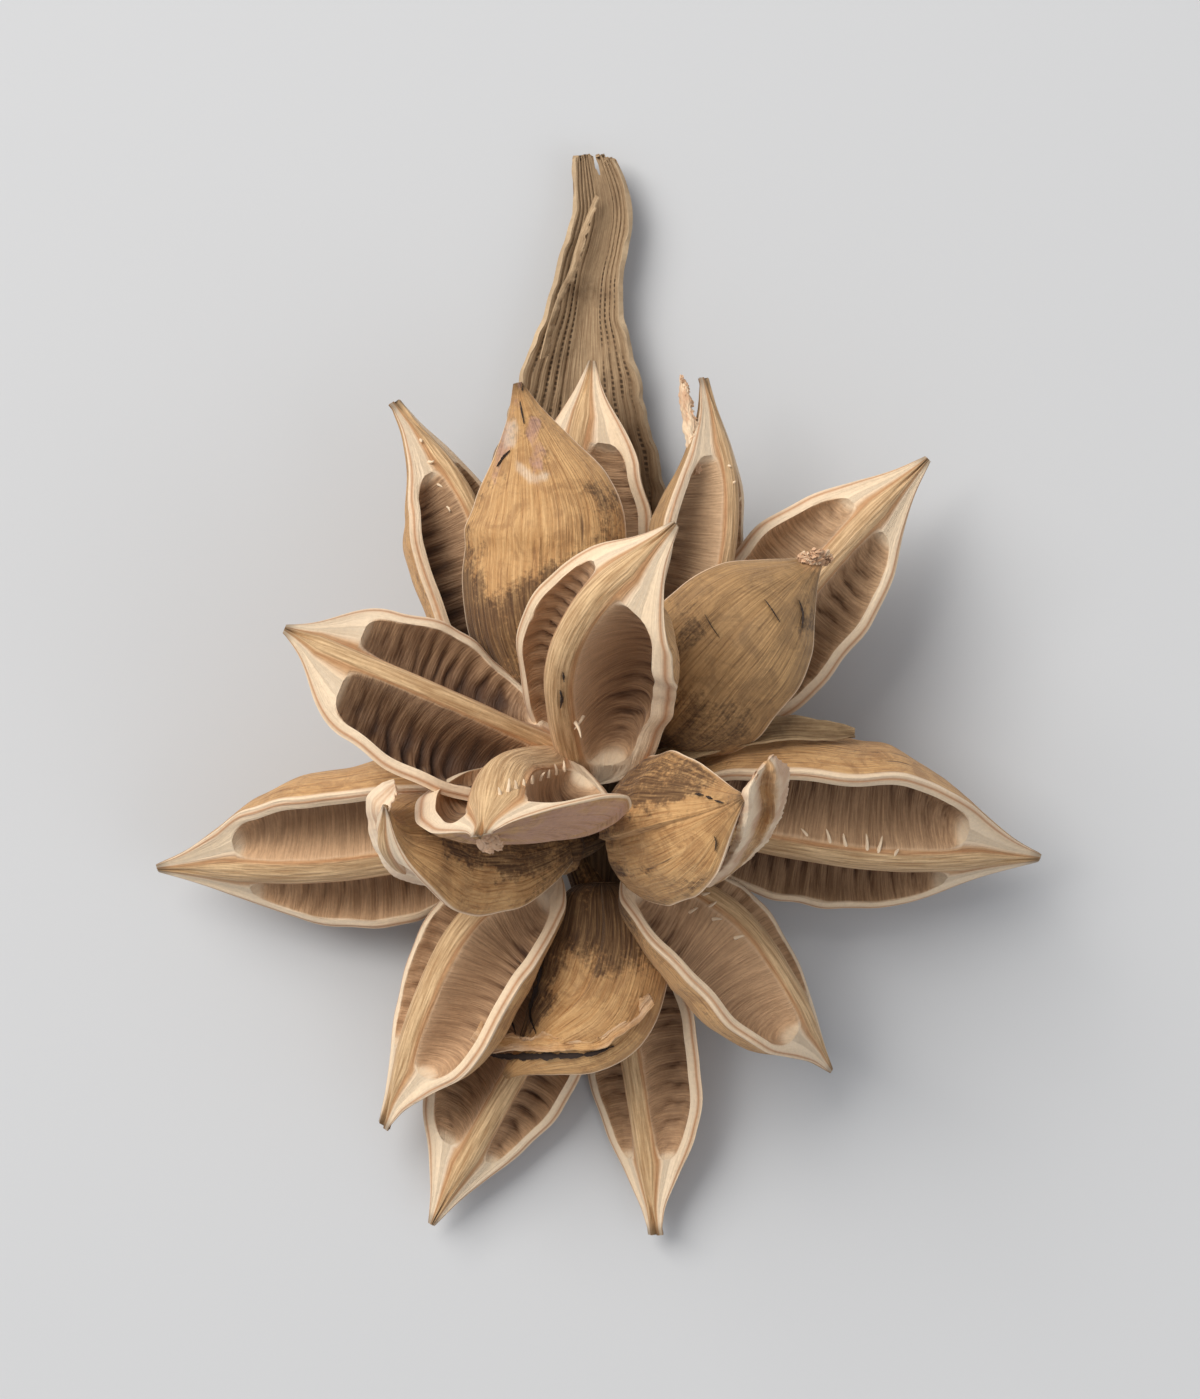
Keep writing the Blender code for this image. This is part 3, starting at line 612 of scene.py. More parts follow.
def crackTube(body, path, width, look=crackLook):  # a thin dark crack laid in the surface of a body
    line = spine([onSurface(body, px, py, look["lift"]) for px, py in path])
    t = np.linspace(0, 1, max(look["fewest"], int(line[1][-1] / look["step"])))
    centre = along(line, t)
    run = unit(along(line, t + 0.03) - along(line, t - 0.03))
    side = unit(np.cross(run, np.array([0, 0, 1.0])))
    half = (width / 2 * np.sin(math.pi * np.clip(t, 0.02, 0.98)) ** 0.6
            * (1 + 0.5 * waves(len(path), t * 40)))
    top = centre[:, None] + side[:, None] * (half[:, None] * np.array([-1, 0, 1]))[..., None]
    tube = sheetTube(top, look["thickness"])
    tube["wash"] = np.zeros(tube["points"].shape) + (0, 0, look["dark"])
    return tube


stalkLook = {
    "radius": 0.52,         # mm, added at the root to the radius of the point
    "point": 0.1,
    "sunk": 0.6,            # mm that the root stands under the surface
    "bend": (0.25, 0.6),    # least and most, as shares of the length
    "stations": 12,
    "sides": 9,
}


def stalkTube(root, lean, length, seed, look=stalkLook):  # a small curved stalk that once held a seed
    t = np.linspace(0, 1, look["stations"])
    rng = np.random.default_rng(seed)
    lean = unit(np.array(lean, float))
    bend = unit(np.cross(lean, rng.normal(size=3))) * rng.uniform(*look["bend"])
    centre = np.array(root) + (lean * (t[:, None] * length) + bend * (t[:, None] ** 2 * length))
    turn = np.linspace(0, math.tau, look["sides"], endpoint=False)
    a = unit(np.cross(lean, np.array([0.3, 0.2, 1.0])))
    b = np.cross(lean, a)
    radius = (look["radius"] * (1 - t) ** 0.6 + look["point"]) * (1 - 0.3 * (t > 0.99))
    ring = a * np.cos(turn)[:, None] + b * np.sin(turn)[:, None]
    rings = centre[:, None] + ring[None] * radius[:, None, None]
    none = np.zeros(rings.shape)
    return {"points": rings, "grain": grainOf(rings, t * length), "zone": none + (1, 0, 0), "shade": none}


ribGrain = 3.0  # the fibre pattern's mm from one rib of the bract to the next

bractLook = {
    "line": [(0, -12, 9), (-4, 12, 4), (-7, 39, 2.6), (-6, 68, 2.6), (-4.6, 98, 3.4), (-2.6, 119, 5),
             (0, 130, 5.8), (1.2, 140, 6.5), (-1.8, 155, 7)],
    "halfWidth": [(0, 10), (0.16, 20), (0.3, 25), (0.42, 25), (0.49, 22.5), (0.6, 16.8), (0.67, 13.3),
                  (0.735, 9.7), (0.86, 7.9), (0.925, 7.1), (1, 4.4)],
    "depth": [(0, 7), (0.4, 9), (0.6, 8.5), (0.8, 6.5), (1, 3)],
    "notch": (-0.12, 0.13, 0.035),  # its place and width across, and its share of the length
    "pleat": (-0.42, 0.05, 0.5),    # its place and width across, and its height in mm
    "ribs": 7,              # on each wall
    "ribHeight": 0.75,
    "thickness": 1.6,
    "stations": 280,
    "steps": 120,
}


def bractTube(look):
    line = spine(look["line"])
    t = np.linspace(0, 1, look["stations"])[:, None]
    x = np.linspace(-1, 1, look["steps"] + 1)[None, :]
    away = np.abs(x)
    place, width, depth = look["notch"]
    notch = depth * np.exp(-((x - place) / width) ** 2) + 0.012 * np.abs(waves(3, x * 9))
    notch = notch + 0.02 * smoothStep(-0.2, -1, x)
    reached = t * (1 - notch)
    origin, up, across = frames(line, reached.ravel(), (0, 0, 1), (0, 0, 1))
    origin, up, across = (v.reshape(reached.shape + (3,)) for v in (origin, up, across))
    run = reached * line[1][-1]
    wander = (1 + 0.05 * waves(8, run / 7, 0 * x) * away ** 3
              + 0.03 * waves(9, run / 2.2, 3 * np.sign(x)) * away ** 8)
    half = smoothCurve(look["halfWidth"], reached) * wander
    wall = np.where(x > 0, smoothStep(0.12, 0.3, x), smoothStep(0.3, 0.5, -x))  # 1 on the walls
    phase = away * look["ribs"] + 0.06 * waves(12, run / 20, x * 3)
    rib = np.abs(np.sin(math.pi * phase)) ** 0.7
    groove = np.exp(-((np.mod(phase + 0.5, 1) - 0.5) / 0.13) ** 2) * wall * (1 - smoothStep(0.93, 0.98, away))
    rise = (smoothCurve(look["depth"], reached) * away ** 1.7
            + look["ribHeight"] * (rib - 0.6) * wall * smoothStep(0, 0.1, 1.02 - away))
    place, width, height = look["pleat"]
    pleat = height * np.exp(-((x - place) / width) ** 2) * smoothStep(0.7, 0.8, reached)
    rise = rise + 0.35 * waves(15, run / 9, x * 4) + pleat
    top = origin + across * (half * x)[..., None] + up * rise[..., None]
    grain = np.stack(np.broadcast_arrays(phase * ribGrain * np.sign(x), 0.0 * x, run), -1)
    zone = np.stack(np.broadcast_arrays(groove, 0.0, smoothStep(0.93, 1, away)), -1)  # groove and edge
    # painted shade on the part of the bract that lies under the upper left capsule
    shadeBeneath, tip = smoothStep(0.66, 0.5, reached), smoothStep(0.75, 0.9, reached)
    shade = np.stack(np.broadcast_arrays(shadeBeneath, 0.0, tip), -1)
    return sheetTube(top, look["thickness"], grain, zone, shade)


bladeLook = {
    "inner": [(0.4, 142, 11), (-3.2, 131, 12.4), (-6, 121, 12.5), (-10, 114, 12.5), (-13, 105, 12),
              (-14, 97, 11)],
    "outer": [(-0.4, 142.6, 10.4), (-5, 131, 12), (-8, 121, 13.5), (-11.3, 114, 14), (-14.3, 105, 14.5),
              (-16.5, 96, 14)],
    "thickness": 0.45,
    "crown": 0.4,           # mm that it bulges
    "stations": 90,
    "steps": 8,
}


def bladeTube(look):  # the thin inner layer of the bract, torn along its edge
    t = np.linspace(0, 1, look["stations"])
    edge, rim = along(spine(look["inner"]), t), along(spine(look["outer"]), t)
    edge = edge + np.stack([0.5 * waves(22, t * 60), 0 * t, 0.5 + 0.3 * waves(23, t * 30)], -1)
    f = np.linspace(0, 1, look["steps"] + 1)[None, :, None]
    bulge = np.array([0, 0, 1.0]) * np.sin(f * math.pi) * look["crown"]
    top = edge[:, None] * (1 - f) + rim[:, None] * f + bulge
    return sheetTube(top, look["thickness"], shade=np.array([0, 0, 1.0]))


bractletLook = {
    "line": [(6, -25, 46), (13, -19, 55), (22, -15.5, 60.5), (34, -12, 61.5), (48, -9.4, 60.5),
             (58, -9, 58.5), (70.5, -9.6, 55)],
    "halfWidth": [(0, 2.4), (0.3, 2.9), (0.5, 3.2), (0.75, 3.7), (0.9, 2.8), (1, 0.9)],
    "face": (0, 0.55, 0.8),
    "thickness": 0.55,
    "curl": 2.6,
    "stations": 200,
    "steps": 24,
}


def bractletTube(look):
    line = spine(look["line"])
    t = np.linspace(0, 1, look["stations"])[:, None]
    x = np.linspace(-1, 1, look["steps"] + 1)[None, :]
    none = 0 * t * x
    origin, up, across = frames(line, t.ravel(), look["face"], look["face"])
    run = t * line[1][-1]
    half = smoothCurve(look["halfWidth"], t) * (1 + 0.1 * waves(31, run / 4, np.sign(x)) * np.abs(x) ** 4)
    rise = look["curl"] * half / 4.5 * np.abs(x + 0.15 * waves(33, run / 14, 0 * x)) ** 1.6
    rise = rise + 0.5 * waves(35, run / 9, x * 2) + 0.18 * np.sin(x * 13 + run / 6)
    top = origin[:, None] + across[:, None] * (half * x)[..., None] + up[:, None] * rise[..., None]
    grain = np.stack([half * x, none, none + run], -1)
    zone = np.stack([none, none, smoothStep(0.8, 1, np.abs(x)) + none], -1)
    # darker towards its root end: painted shade where it comes out from under the capsules
    shade = np.stack([smoothStep(0.3, 0.1, t) + none, none, none], -1)
    return sheetTube(top, look["thickness"], grain, zone, shade)


# Materials

def srgb(r, g, b):
    return tuple(((c / 255 + 0.055) / 1.055) ** 2.4 if c > 10 else c / 255 / 12.92 for c in (r, g, b)) + (1,)


class Tree:  # short calls for building nodes
    def __init__(self, tree):
        self.tree = tree

    def join(self, value, socket):  # a link, or a plain value
        if isinstance(value, bpy.types.NodeSocket):
            self.tree.links.new(value, socket)
        else:
            socket.default_value = value

    def add(self, kind, inputs=(), **settings):
        node = self.tree.nodes.new(kind)
        for key, value in settings.items():
            setattr(node, key, value)
        for key, value in dict(inputs).items():
            self.join(value, node.inputs[key])
        return node

    def math(self, operation, a, b=0.0, clamp=False):
        return self.add("ShaderNodeMath", {0: a, 1: b}, operation=operation, use_clamp=clamp).outputs[0]

    def plus(self, a, b, clamp=False):
        return self.math("ADD", a, b, clamp)

    def minus(self, a, b, clamp=False):
        return self.math("SUBTRACT", a, b, clamp)

    def times(self, a, b, clamp=False):
        return self.math("MULTIPLY", a, b, clamp)

    def sway(self, value, mask, amount):  # higher where the mask is over a half, lower where it is under
        return self.plus(value, self.times(self.minus(mask, 0.5), amount))

    def stretch(self, vector, shares):
        return self.add("ShaderNodeVectorMath", {0: vector, 1: shares}, operation="MULTIPLY").outputs[0]

    def noise(self, vector, scale=1.0, detail=4.0, roughness=0.55, distortion=0.0):
        node = self.add("ShaderNodeTexNoise", {"Vector": vector, "Scale": scale, "Detail": detail,
                                               "Roughness": roughness, "Distortion": distortion})
        return node.outputs["Fac"]

    def remap(self, value, low, high, to=(0.0, 1.0), smooth=True):
        node = self.add("ShaderNodeMapRange", {"Value": value, "From Min": low, "From Max": high,
                                               "To Min": to[0], "To Max": to[1]},
                        interpolation_type="SMOOTHSTEP" if smooth else "LINEAR")
        return node.outputs[0]

    def mix(self, factor, a, b, kind="MIX"):
        node = self.add("ShaderNodeMix", {0: factor, 6: a, 7: b}, data_type="RGBA", blend_type=kind)
        return node.outputs[2]

    def tint(self, colour, tone, mask, amount, kind="MIX", clamp=False):  # a tone over a colour, by a mask
        return self.mix(self.times(mask, amount, clamp), colour, tone, kind)

    def parts(self, layer):  # the three channels of one of the mesh's own layers
        vector = self.add("ShaderNodeAttribute", attribute_name=layer).outputs["Vector"]
        return self.add("ShaderNodeSeparateXYZ", {0: vector}).outputs

    def placed(self, group, inputs):
        return self.add("ShaderNodeGroup", inputs, node_tree=groups[group]).outputs


def newGroup(name, inputs, outputs):  # inputs holds usual values, or None for a vector
    group = bpy.data.node_groups.new(name, "ShaderNodeTree")
    for title, value in inputs.items():
        kind = "NodeSocketVector" if value is None else "NodeSocketFloat"
        socket = group.interface.new_socket(title, in_out="INPUT", socket_type=kind)
        if value is not None:
            socket.default_value = value
    for title in outputs:
        group.interface.new_socket(title, in_out="OUTPUT", socket_type="NodeSocketFloat")
    return Tree(group), group.nodes.new("NodeGroupInput").outputs, group.nodes.new("NodeGroupOutput").inputs


def fibreGroup():  # long fibres: streaks along the grain, fine and broad, and rare dark splits
    tree, given, out = newGroup("dryFibre", {"Grain": None, "Across": 1.0, "Along": 0.05},
                                ("Fine", "Broad", "Split"))
    across = given["Across"]
    scale = tree.add("ShaderNodeCombineXYZ", {0: across, 1: across, 2: given["Along"]}).outputs[0]
    streak = tree.stretch(given["Grain"], scale)
    fine = tree.noise(streak, 1.6, 5, 0.6)
    broad = tree.noise(tree.stretch(streak, (0.22, 0.22, 0.4)), 1.0, 3, 0.55, 0.4)
    split = tree.noise(tree.stretch(streak, (0.5, 0.5, 0.9)), 1.0, 2, 0.5)
    tree.join(tree.remap(fine, 0.3, 0.7), out["Fine"])
    tree.join(tree.remap(broad, 0.3, 0.7), out["Broad"])
    tree.join(tree.remap(split, 0.69, 0.76), out["Split"])
    return tree.tree


def wearGroup():  # mottles, and specks of dust and grime, on object coordinates
    tree, given, out = newGroup("dryWear", {"Coords": None}, ("Mottle", "Speck"))
    mottle = tree.noise(given["Coords"], 55, 6, 0.62, 0.6)
    speck = tree.noise(given["Coords"], 900, 3, 0.6)
    tree.join(tree.remap(mottle, 0.28, 0.72, smooth=False), out["Mottle"])
    tree.join(tree.remap(speck, 0.3, 0.7, smooth=False), out["Speck"])
    return tree.tree


groups = {"fibre": fibreGroup(), "wear": wearGroup()}


def newMaterial(name):
    material = bpy.data.materials.new(name)
    material.use_nodes = True
    return material, Tree(material.node_tree)


def finishMaterial(material, tree, colour, height, rough, finish):
    shader = material.node_tree.nodes["Principled BSDF"]
    bump = tree.add("ShaderNodeBump", {"Height": height, "Strength": finish["bump"],
                                       "Distance": finish["bumpDepth"]}).outputs[0]
    for title, value in (("Base Color", colour), ("Normal", bump), ("Roughness", rough),
                         ("Specular IOR Level", finish["specular"]), ("Sheen Weight", finish["sheen"])):
        tree.join(value, shader.inputs[title])
    return material

huskLooks = {
    "straw": {
        "outside": srgb(188, 138, 84), "outsideLight": srgb(238, 196, 138), "stain": srgb(84, 56, 32),
        "ridge": srgb(234, 198, 150), "ridgeDark": srgb(176, 136, 92), "rim": srgb(246, 222, 190),
        "line": srgb(184, 122, 74), "cavity": srgb(212, 172, 132), "cavityShade": srgb(106, 72, 44),
        "gloom": srgb(62, 38, 20),
        "felt": srgb(194, 150, 130), "bloom": srgb(240, 226, 206), "burn": srgb(46, 30, 20),
        "blotch": srgb(142, 96, 54), "mottle": 0.6, "fibre": 0.6,
    },
    "weathered": {
        "outside": srgb(160, 122, 78), "outsideLight": srgb(204, 162, 110), "stain": srgb(84, 60, 38),
        "ridge": srgb(230, 194, 148), "ridgeDark": srgb(174, 136, 94), "rim": srgb(244, 220, 188),
        "line": srgb(190, 130, 84), "cavity": srgb(210, 174, 136), "cavityShade": srgb(112, 80, 52),
        "gloom": srgb(66, 44, 26),
        "felt": srgb(160, 122, 100), "bloom": srgb(214, 164, 114), "burn": srgb(46, 30, 20),
        "blotch": srgb(122, 92, 60), "mottle": 0.5, "fibre": 0.75,
    },
}


huskFinish = {
    "longGrain": (0.9, 0.05),   # how fast the fibres change across and along the valve
    "crossGrain": (0.06, 1.1),
    "blotches": 0.42,
    "pores": 0.4,
    "darkenedTone": 0.4,
    "splits": 0.7,
    "ridgeLine": 0.7,
    "rimLine": 0.85,
    "hollowShade": 0.8,
    "hollowStreaks": 0.45,
    "burn": 0.9,
    "grime": 0.12,
    "roughness": (0.55, 0.72),
    "specular": 0.35,
    "sheen": 0.08,
    "bump": 0.55,
    "bumpDepth": 0.0005,        # m
}


def huskMaterial(name, look, finish=huskFinish):
    material, tree = newMaterial(name)
    grain = tree.add("ShaderNodeAttribute", attribute_name="grain").outputs["Vector"]
    coords = tree.add("ShaderNodeTexCoord").outputs["Object"]
    rim, cavity, ridge = tree.parts("zone")
    deep, stain, line = tree.parts("shade")
    felt, bloom, burn = tree.parts("wash")
    long, cross = (tree.placed("fibre", {"Grain": grain, "Across": across, "Along": run})
                   for across, run in (finish["longGrain"], finish["crossGrain"]))
    fine, broad, split = long
    streaks = cross["Fine"]
    mottle, speck = tree.placed("wear", {"Coords": coords})

    outside = tree.tint(look["outside"], look["outsideLight"], fine, look["fibre"])
    blotch = tree.remap(tree.noise(coords, 150, 6, 0.68, 0.9), 0.44, 0.62)
    outside = tree.tint(outside, look["blotch"], blotch, finish["blotches"])
    outside = tree.tint(outside, look["stain"], tree.remap(fine, 0.16, 0.02), finish["pores"])
    # the darkening layer, stains and painted shadow, darkens the outside
    stainedAndShaded = tree.sway(tree.sway(tree.sway(stain, mottle, look["mottle"]), broad, 0.35), speck, 0.5)
    darkenedTone = tree.tint(look["stain"], outside, fine, finish["darkenedTone"])
    outside = tree.mix(tree.remap(stainedAndShaded, 0.15, 0.8), outside, darkenedTone)
    outside = tree.tint(outside, look["stain"], split, finish["splits"])
    fuzz = tree.remap(tree.sway(felt, mottle, 1.2), 0.5, 0.95)
    outside = tree.tint(outside, look["felt"], fuzz, tree.remap(fine, 0.0, 1.0, (0.45, 0.9)))

    crest = tree.mix(fine, look["ridgeDark"], look["ridge"])
    crest = tree.tint(crest, look["line"], line, finish["ridgeLine"])
    cream = tree.tint(look["rim"], look["ridge"], broad, 0.3)
    cream = tree.tint(cream, look["line"], line, finish["rimLine"])
    # painted shade in the hollows: darker with depth, in the rib creases and towards the root, darker still
    # where gloom is set
    shaded = tree.plus(tree.times(deep, finish["hollowShade"]),
                       tree.times(tree.minus(0.5, streaks), finish["hollowStreaks"]), clamp=True)
    hollow = tree.mix(shaded, look["cavity"], look["cavityShade"])
    hollow = tree.mix(tree.remap(deep, 0.75, 1.7), hollow, look["gloom"])

    inner = tree.plus(tree.plus(rim, cavity), ridge, clamp=True)
    colour = tree.mix(tree.remap(ridge, 0.2, 0.8), cream, crest)
    colour = tree.mix(tree.remap(cavity, 0.1, 0.9), colour, hollow)
    colour = tree.mix(tree.remap(inner, 0.3, 0.7), outside, colour)
    colour = tree.tint(colour, look["bloom"], bloom, tree.remap(fine, 0.0, 1.0, (0.55, 1.0)))
    colour = tree.tint(colour, look["burn"], burn, finish["burn"], clamp=True)
    colour = tree.tint(colour, look["stain"], speck, finish["grime"], "MULTIPLY")

    outer = tree.minus(1.0, cavity, clamp=True)
    height = tree.plus(tree.times(fine, outer), tree.times(streaks, cavity))
    height = tree.plus(height, tree.times(speck, 0.15))
    height = tree.minus(height, tree.times(split, outer))
    rough = tree.remap(broad, 0.0, 1.0, finish["roughness"], smooth=False)
    return finishMaterial(material, tree, colour, height, rough, finish)


husks = {name: huskMaterial(name + "Husk", look) for name, look in huskLooks.items()}

# What time left on the valves

# Flaps are torn lips, in rows of places, and stalks once held the seeds. A place is (px, py) in the picture,
# a flap's with its z in mm. A stalk is (valve, px, py, lean, length) and a crack is (valve, places, width).
remains = {
    "capsule_centre": {
        "flaps": [
            {"rows": [[(476, 838, 109), (480, 846, 108), (486, 853, 106)],
                      [(484, 833, 113), (489, 842, 112), (495, 850, 109)],
                      [(494, 829, 116), (500, 838, 115), (505, 846, 112)]],
             "bloom": 0.1, "thickness": 0.9},
        ],
        "stalks": [(3, 500 + 8 * k, 795 - 3 * k, (0.2, 0.8, 0.5), 2.0 + (k * 5 % 3) * 0.6) for k in range(9)]
                  + [(2, 575, 722, (0.5, -0.6, 0.6), 5), (2, 583, 716, (-0.3, -0.8, 0.5), 4)],
        "cracks": [(2, [(560, 690), (562, 698), (561, 706)], 0.7), (2, [(563, 672), (564, 680)], 0.4)],
    },
    "capsule_upper_left": {
        "stalks": [(2, 420 + 9 * k, 440 + 22 * k, (0.6, -0.3, 0.7), 2.2) for k in range(4)],
        "cracks": [(1, [(523, 384), (521, 404), (524, 424)], 0.5),
                   (1, [(497, 466), (504, 456), (510, 450)], 0.5)],
    },
    "capsule_upper_right": {
        "flaps": [
            {"rows": [[(680, 375, 48), (685, 379, 49), (690, 386, 49)],
                      [(679, 392, 48), (686, 394, 51), (692, 397, 50)],
                      [(682, 420, 49), (689, 420, 52), (695, 421, 51)],
                      [(687, 450, 51), (693, 450, 53), (699, 450, 52)],
                      [(693, 474, 51), (697, 474, 53), (701, 474, 51)]],
             "bloom": 0.1, "thickness": 1.1},
            {"rows": [[(798, 561, 67), (800, 554, 68)], [(808, 563, 68), (810, 553, 69)],
                      [(818, 564, 67), (822, 552, 68)], [(827, 565, 64), (833, 556, 65)]],
             "bloom": 0, "skin": 0.3, "thickness": 1.2},
        ],
        "stalks": [(2, 738 - 5 * k, 500 - 17 * k, (0.7, 0.1, 0.7), 1.4) for k in range(3)],
        "cracks": [(1, [(765, 600), (771, 608), (780, 622)], 0.3),
                   (1, [(799, 600), (803, 613), (802, 628)], 0.5),
                   (1, [(705, 615), (712, 627), (720, 638)], 0.2)],
    },
    "capsule_right": {
        "flaps": [
            {"rows": [[(752, 780, 112), (757, 773, 114), (764, 766, 111), (770, 759, 110), (776, 752, 105)],
                      [(743, 790, 114), (752, 787, 117), (763, 784, 103), (777, 775, 109), (787, 767, 99)],
                      [(741, 806, 111), (751, 808, 114), (763, 808, 95), (777, 803, 101), (786, 800, 88)],
                      [(738, 826, 102), (747, 828, 105), (757, 830, 88), (769, 828, 92), (779, 824, 80)],
                      [(731, 846, 90), (739, 848, 93), (748, 849, 81), (757, 848, 79), (765, 845, 72)],
                      [(718, 868, 79), (725, 870, 80), (732, 870, 74), (739, 867, 70), (746, 862, 64)],
                      [(700, 884, 68), (704, 887, 70), (709, 888, 66), (714, 885, 62), (718, 882, 58)]],
             "bloom": 0.12, "thickness": 1.5},
        ],
        "stalks": [(2, 808, 838, (-0.3, 0.9, 0.4), 3), (2, 830, 843, (-0.1, 0.9, 0.4), 4),
                   (2, 846, 846, (-0.3, 0.9, 0.4), 3.5), (2, 867, 850, (0.1, 0.9, 0.4), 4.5),
                   (2, 878, 852, (0.3, 0.8, 0.5), 4), (2, 894, 855, (0.5, 0.7, 0.5), 3),
                   (3, 690, 912, (0.5, 0.4, 0.7), 3),
                   (3, 702, 895, (0.6, 0.3, 0.7), 2.6), (3, 709, 906, (0.6, 0.2, 0.7), 3),
                   (3, 713, 919, (0.7, 0.2, 0.6), 2.6), (3, 735, 938, (0.7, 0.3, 0.6), 2.8)],
        "cracks": [(1, [(697, 794), (704, 795)], 0.5), (1, [(708, 797), (713, 799)], 0.5),
                   (1, [(717, 801), (724, 803)], 0.4), (1, [(714, 836), (716, 842), (715, 850)], 0.25)],
    },
    "capsule_left": {
        "flaps": [
            {"rows": [[(393, 779, 86), (395, 786, 92), (396, 793, 97)],
                      [(380, 785, 86), (385, 797, 94), (390, 805, 99)],
                      [(366, 800, 84), (376, 808, 92), (388, 812, 99)],
                      [(368, 825, 80), (380, 828, 88), (392, 828, 95)],
                      [(376, 850, 76), (390, 850, 84), (403, 846, 90)],
                      [(392, 874, 72), (406, 870, 79), (418, 862, 85)],
                      [(422, 885, 70), (430, 880, 75), (438, 874, 80)],
                      [(450, 890, 70), (455, 887, 73), (460, 884, 76)]],
             "bloom": 0.35, "thickness": 1.4},
        ],
    },
    "capsule_lower": {
        "flaps": [
            {"rows": [[(470, 1040, 43), (478, 1025, 41)], [(490, 1052, 43), (498, 1035, 41)],
                      [(515, 1050, 44), (520, 1036, 42)], [(545, 1051, 46), (548, 1035, 45)],
                      [(575, 1049, 49), (575, 1036, 47)], [(600, 1049, 49), (594, 1034, 48)],
                      [(620, 1036, 50), (612, 1023, 48)], [(640, 1021, 47), (632, 1008, 46)],
                      [(655, 1003, 49), (648, 992, 48)]],
             "bloom": 0.35, "skin": 0.85, "thickness": 0.9},
        ],
        "cracks": [(1, [(538, 940), (540, 975), (530, 1010), (536, 1034)], 0.9),
                   (1, [(500, 1004), (511, 1020), (516, 1034)], 0.6),
                   (1, [(470, 1050), (500, 1056), (545, 1056), (590, 1054), (614, 1046)], 1.7)],
    },
}


def remainTubes(found, valves, seed):
    tubes = []
    for number, flap in enumerate(found.get("flaps", ())):
        rows = [[seen(*place) for place in row] for row in flap["rows"]]
        rows = [[row[0], (row[0] + row[-1]) / 2, row[-1]] if len(row) == 2 else row for row in rows]
        tubes.append(flapTube(rows, seed + number, flap["thickness"], flap["bloom"], flap.get("skin", 0)))
    for number, (valve, px, py, lean, length) in enumerate(found.get("stalks", ())):
        root = onSurface(valves[valve - 1], px, py, -stalkLook["sunk"])
        tubes.append(stalkTube(root, lean, length, seed + 40 + number))
    for valve, path, width in found.get("cracks", ()):
        tubes.append(crackTube(valves[valve - 1], path, width))
    return tubes


for index, (name, capsule) in enumerate(capsules.items()):
    valves = []
    for number, shape in enumerate(capsule["valves"]):
        detail = seenFromBehind if number == 0 and index else {}
        valves.append(valveTube(shape, 100 * index + 10 * number + 1, dict(valveLook, **detail)))
    tubes = [pedicelTube(capsule["foot"], capsule["base"], 40 + index)] + valves
    tubes += remainTubes(remains[name], valves, 300 + 10 * index)
    piece = ringMesh(name + "_husk", tubes)
    piece.data.materials.append(husks[capsule["look"]])
    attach(piece, "root")
    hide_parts(name)
    print("capsule", name, len(piece.data.polygons), "faces")


fibreFinish = {
    "along": 0.05,
    "rowShift": 0.37,       # how far each row of dots is shifted against the last, in dots
    "groove": 0.55,
    "mottle": 0.5,
    "edge": 0.4,
    "splits": 0.6,
    "shadeBeneath": 0.55,
    "grime": 0.15,
    "roughness": 0.72,
    "specular": 0.3,
    "sheen": 0.0,
    "bump": 0.6,
    "bumpDepth": 0.0004,    # m
}


def fibreMaterial(name, look, finish=fibreFinish):
    material, tree = newMaterial(name)
    grain = tree.add("ShaderNodeAttribute", attribute_name="grain").outputs["Vector"]
    coords = tree.add("ShaderNodeTexCoord").outputs["Object"]
    zone, shade, part = tree.parts("zone"), tree.parts("shade"), tree.parts("grain")
    groove, edge, shadeBeneath, tip = zone[0], zone[2], shade[0], shade[2]
    fibres = tree.placed("fibre", {"Grain": grain, "Across": look["across"], "Along": finish["along"]})
    fine, split = fibres["Fine"], fibres["Split"]
    mottle, speck = tree.placed("wear", {"Coords": coords})
    row = tree.math("ROUND", tree.math("DIVIDE", part[0], ribGrain))
    beat = tree.plus(tree.math("DIVIDE", part[2], look["dotPitch"]), tree.times(row, finish["rowShift"]))
    beat = tree.plus(beat, tree.times(mottle, 0.6))
    offBeat = tree.math("ABSOLUTE", tree.minus(tree.math("FRACT", beat), 0.5))
    present = tree.remap(tree.noise(tree.stretch(grain, (0.3, 0, 0.07)), 1.0, 2), 0.42, 0.56)
    dots = tree.times(tree.times(tree.remap(offBeat, 0.34, 0.24), tree.remap(groove, 0.15, 0.4)),
                      tree.times(present, tree.remap(tip, 0.0, 1.0, (look["dots"], 0.2))))
    colour = tree.mix(fine, look["dark"], look["light"])
    colour = tree.tint(colour, look["groove"], groove, finish["groove"])
    colour = tree.tint(colour, look["stain"], tree.remap(mottle, 0.5, 0.9), finish["mottle"])
    colour = tree.tint(colour, look["edge"], edge, finish["edge"])
    colour = tree.tint(colour, look["stain"], split, finish["splits"])
    # painted shade where the sheet lies under the capsules
    colour = tree.tint(colour, look["stain"], shadeBeneath, finish["shadeBeneath"])
    colour = tree.mix(dots, colour, look["dot"])
    colour = tree.tint(colour, look["stain"], speck, finish["grime"], "MULTIPLY")
    height = tree.minus(tree.plus(fine, tree.times(speck, 0.2)), dots)
    return finishMaterial(material, tree, colour, height, finish["roughness"], finish)


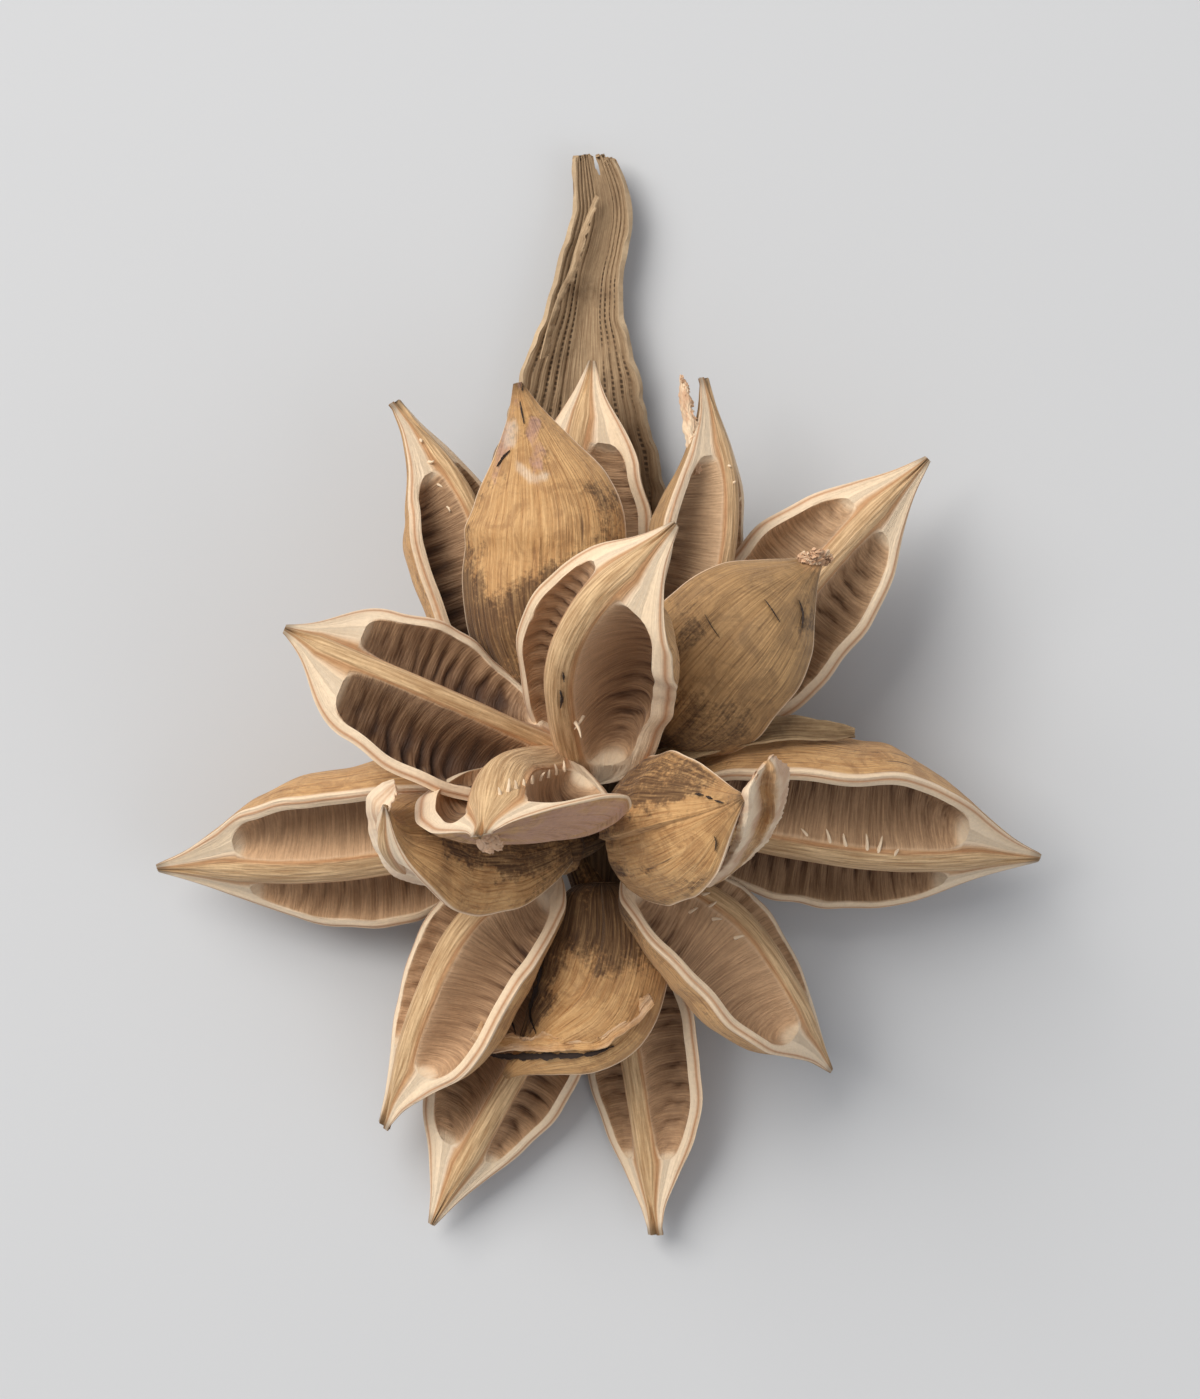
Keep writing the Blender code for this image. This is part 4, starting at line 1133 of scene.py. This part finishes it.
fibreLooks = {
    "bract": {"light": srgb(198, 170, 134), "dark": srgb(152, 122, 90), "groove": srgb(132, 104, 74),
              "stain": srgb(104, 80, 56), "edge": srgb(214, 190, 156), "dot": srgb(52, 36, 24),
              "across": 1.3, "dots": 0.75, "dotPitch": 1.6},
    "bractlet": {"light": srgb(176, 148, 110), "dark": srgb(124, 96, 66), "groove": srgb(120, 94, 66),
                 "stain": srgb(84, 62, 42), "edge": srgb(190, 164, 128), "dot": srgb(58, 42, 28),
                 "across": 1.1, "dots": 0.0, "dotPitch": 1.7},
    "rachis": {"light": srgb(128, 98, 66), "dark": srgb(88, 64, 42), "groove": srgb(90, 66, 44),
               "stain": srgb(62, 44, 30), "edge": srgb(150, 120, 84), "dot": srgb(58, 42, 28),
               "across": 0.9, "dots": 0.0, "dotPitch": 1.7},
}

rachisLook = {
    "line": [(0, 6.5, 17), (1, -15, 20), (1, -35, 24), (1, -53, 26)],
    "radii": [(0, 5.2), (0.25, 7.2), (0.5, 8), (0.8, 8), (1, 5.8)],
    "seed": 77,
}

fineParts = {
    "bract": ("bract_sheath", "bract_fibre", [bractTube(bractLook), bladeTube(bladeLook)]),
    "bractlet": ("bractlet_strip", "dry_leaf", [bractletTube(bractletLook)]),
    "rachis": ("rachis_wood", "weathered_wood",
               [stemTube(rachisLook["line"], rachisLook["radii"], rachisLook["seed"])]),
}
for node, (name, slot, tubes) in fineParts.items():
    piece = ringMesh(name, tubes)
    piece.data.materials.append(fibreMaterial(name + "Fibre", fibreLooks[node]))
    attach(piece, "root")
    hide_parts(node)
    print(node, len(piece.data.polygons), "faces")


# Floor, light and camera

floorLook = {"size": 6, "colour": srgb(197, 198, 199), "roughness": 0.9}

bpy.ops.mesh.primitive_plane_add(size=floorLook["size"], location=(0, 0, 0))
floor = bpy.context.object
floor.name = "floor"
floorMaterial = bpy.data.materials.new("paleFloor")
floorMaterial.use_nodes = True
floorShader = floorMaterial.node_tree.nodes["Principled BSDF"]
floorShader.inputs["Base Color"].default_value = floorLook["colour"]
floorShader.inputs["Roughness"].default_value = floorLook["roughness"]
floor.data.materials.append(floorMaterial)

lights = {
    "key": {"place": (-2.0, 1.8, 3.0), "size": 2.8, "power": 178, "colour": (1.0, 0.975, 0.94)},
    "fill": {"place": (2.4, -1.2, 2.4), "size": 2.4, "power": 14, "colour": (0.97, 0.98, 1.0)},
}
for name, light in lights.items():
    bpy.ops.object.light_add(type="AREA", location=light["place"])
    lamp = bpy.context.object
    lamp.name = name
    lamp.data.size = light["size"]
    lamp.data.energy = light["power"]
    lamp.data.color = light["colour"]
    lamp.rotation_euler = (-lamp.location).to_track_quat("-Z", "Y").to_euler()

bpy.context.scene.view_settings.view_transform = "Standard"
worldLook = {"Color": (0.93, 0.95, 1.0, 1), "Strength": 0.45}
world = bpy.data.worlds.new("studio")
world.use_nodes = True
for title, value in worldLook.items():
    world.node_tree.nodes["Background"].inputs[title].default_value = value
bpy.context.scene.world = world

bpy.ops.object.camera_add(location=(
    (view["imageSize"][0] / 2 - view["centre"][0]) * view["mmPerPixel"] * mm,
    (view["centre"][1] - view["imageSize"][1] / 2) * view["mmPerPixel"] * mm, view["distance"]))
camera = bpy.context.object
pictureHeight = view["imageSize"][1] * view["mmPerPixel"] * mm
camera.data.lens = camera.data.sensor_width * view["distance"] / pictureHeight
bpy.context.scene.camera = camera

print("pieces, lights and camera are in place")
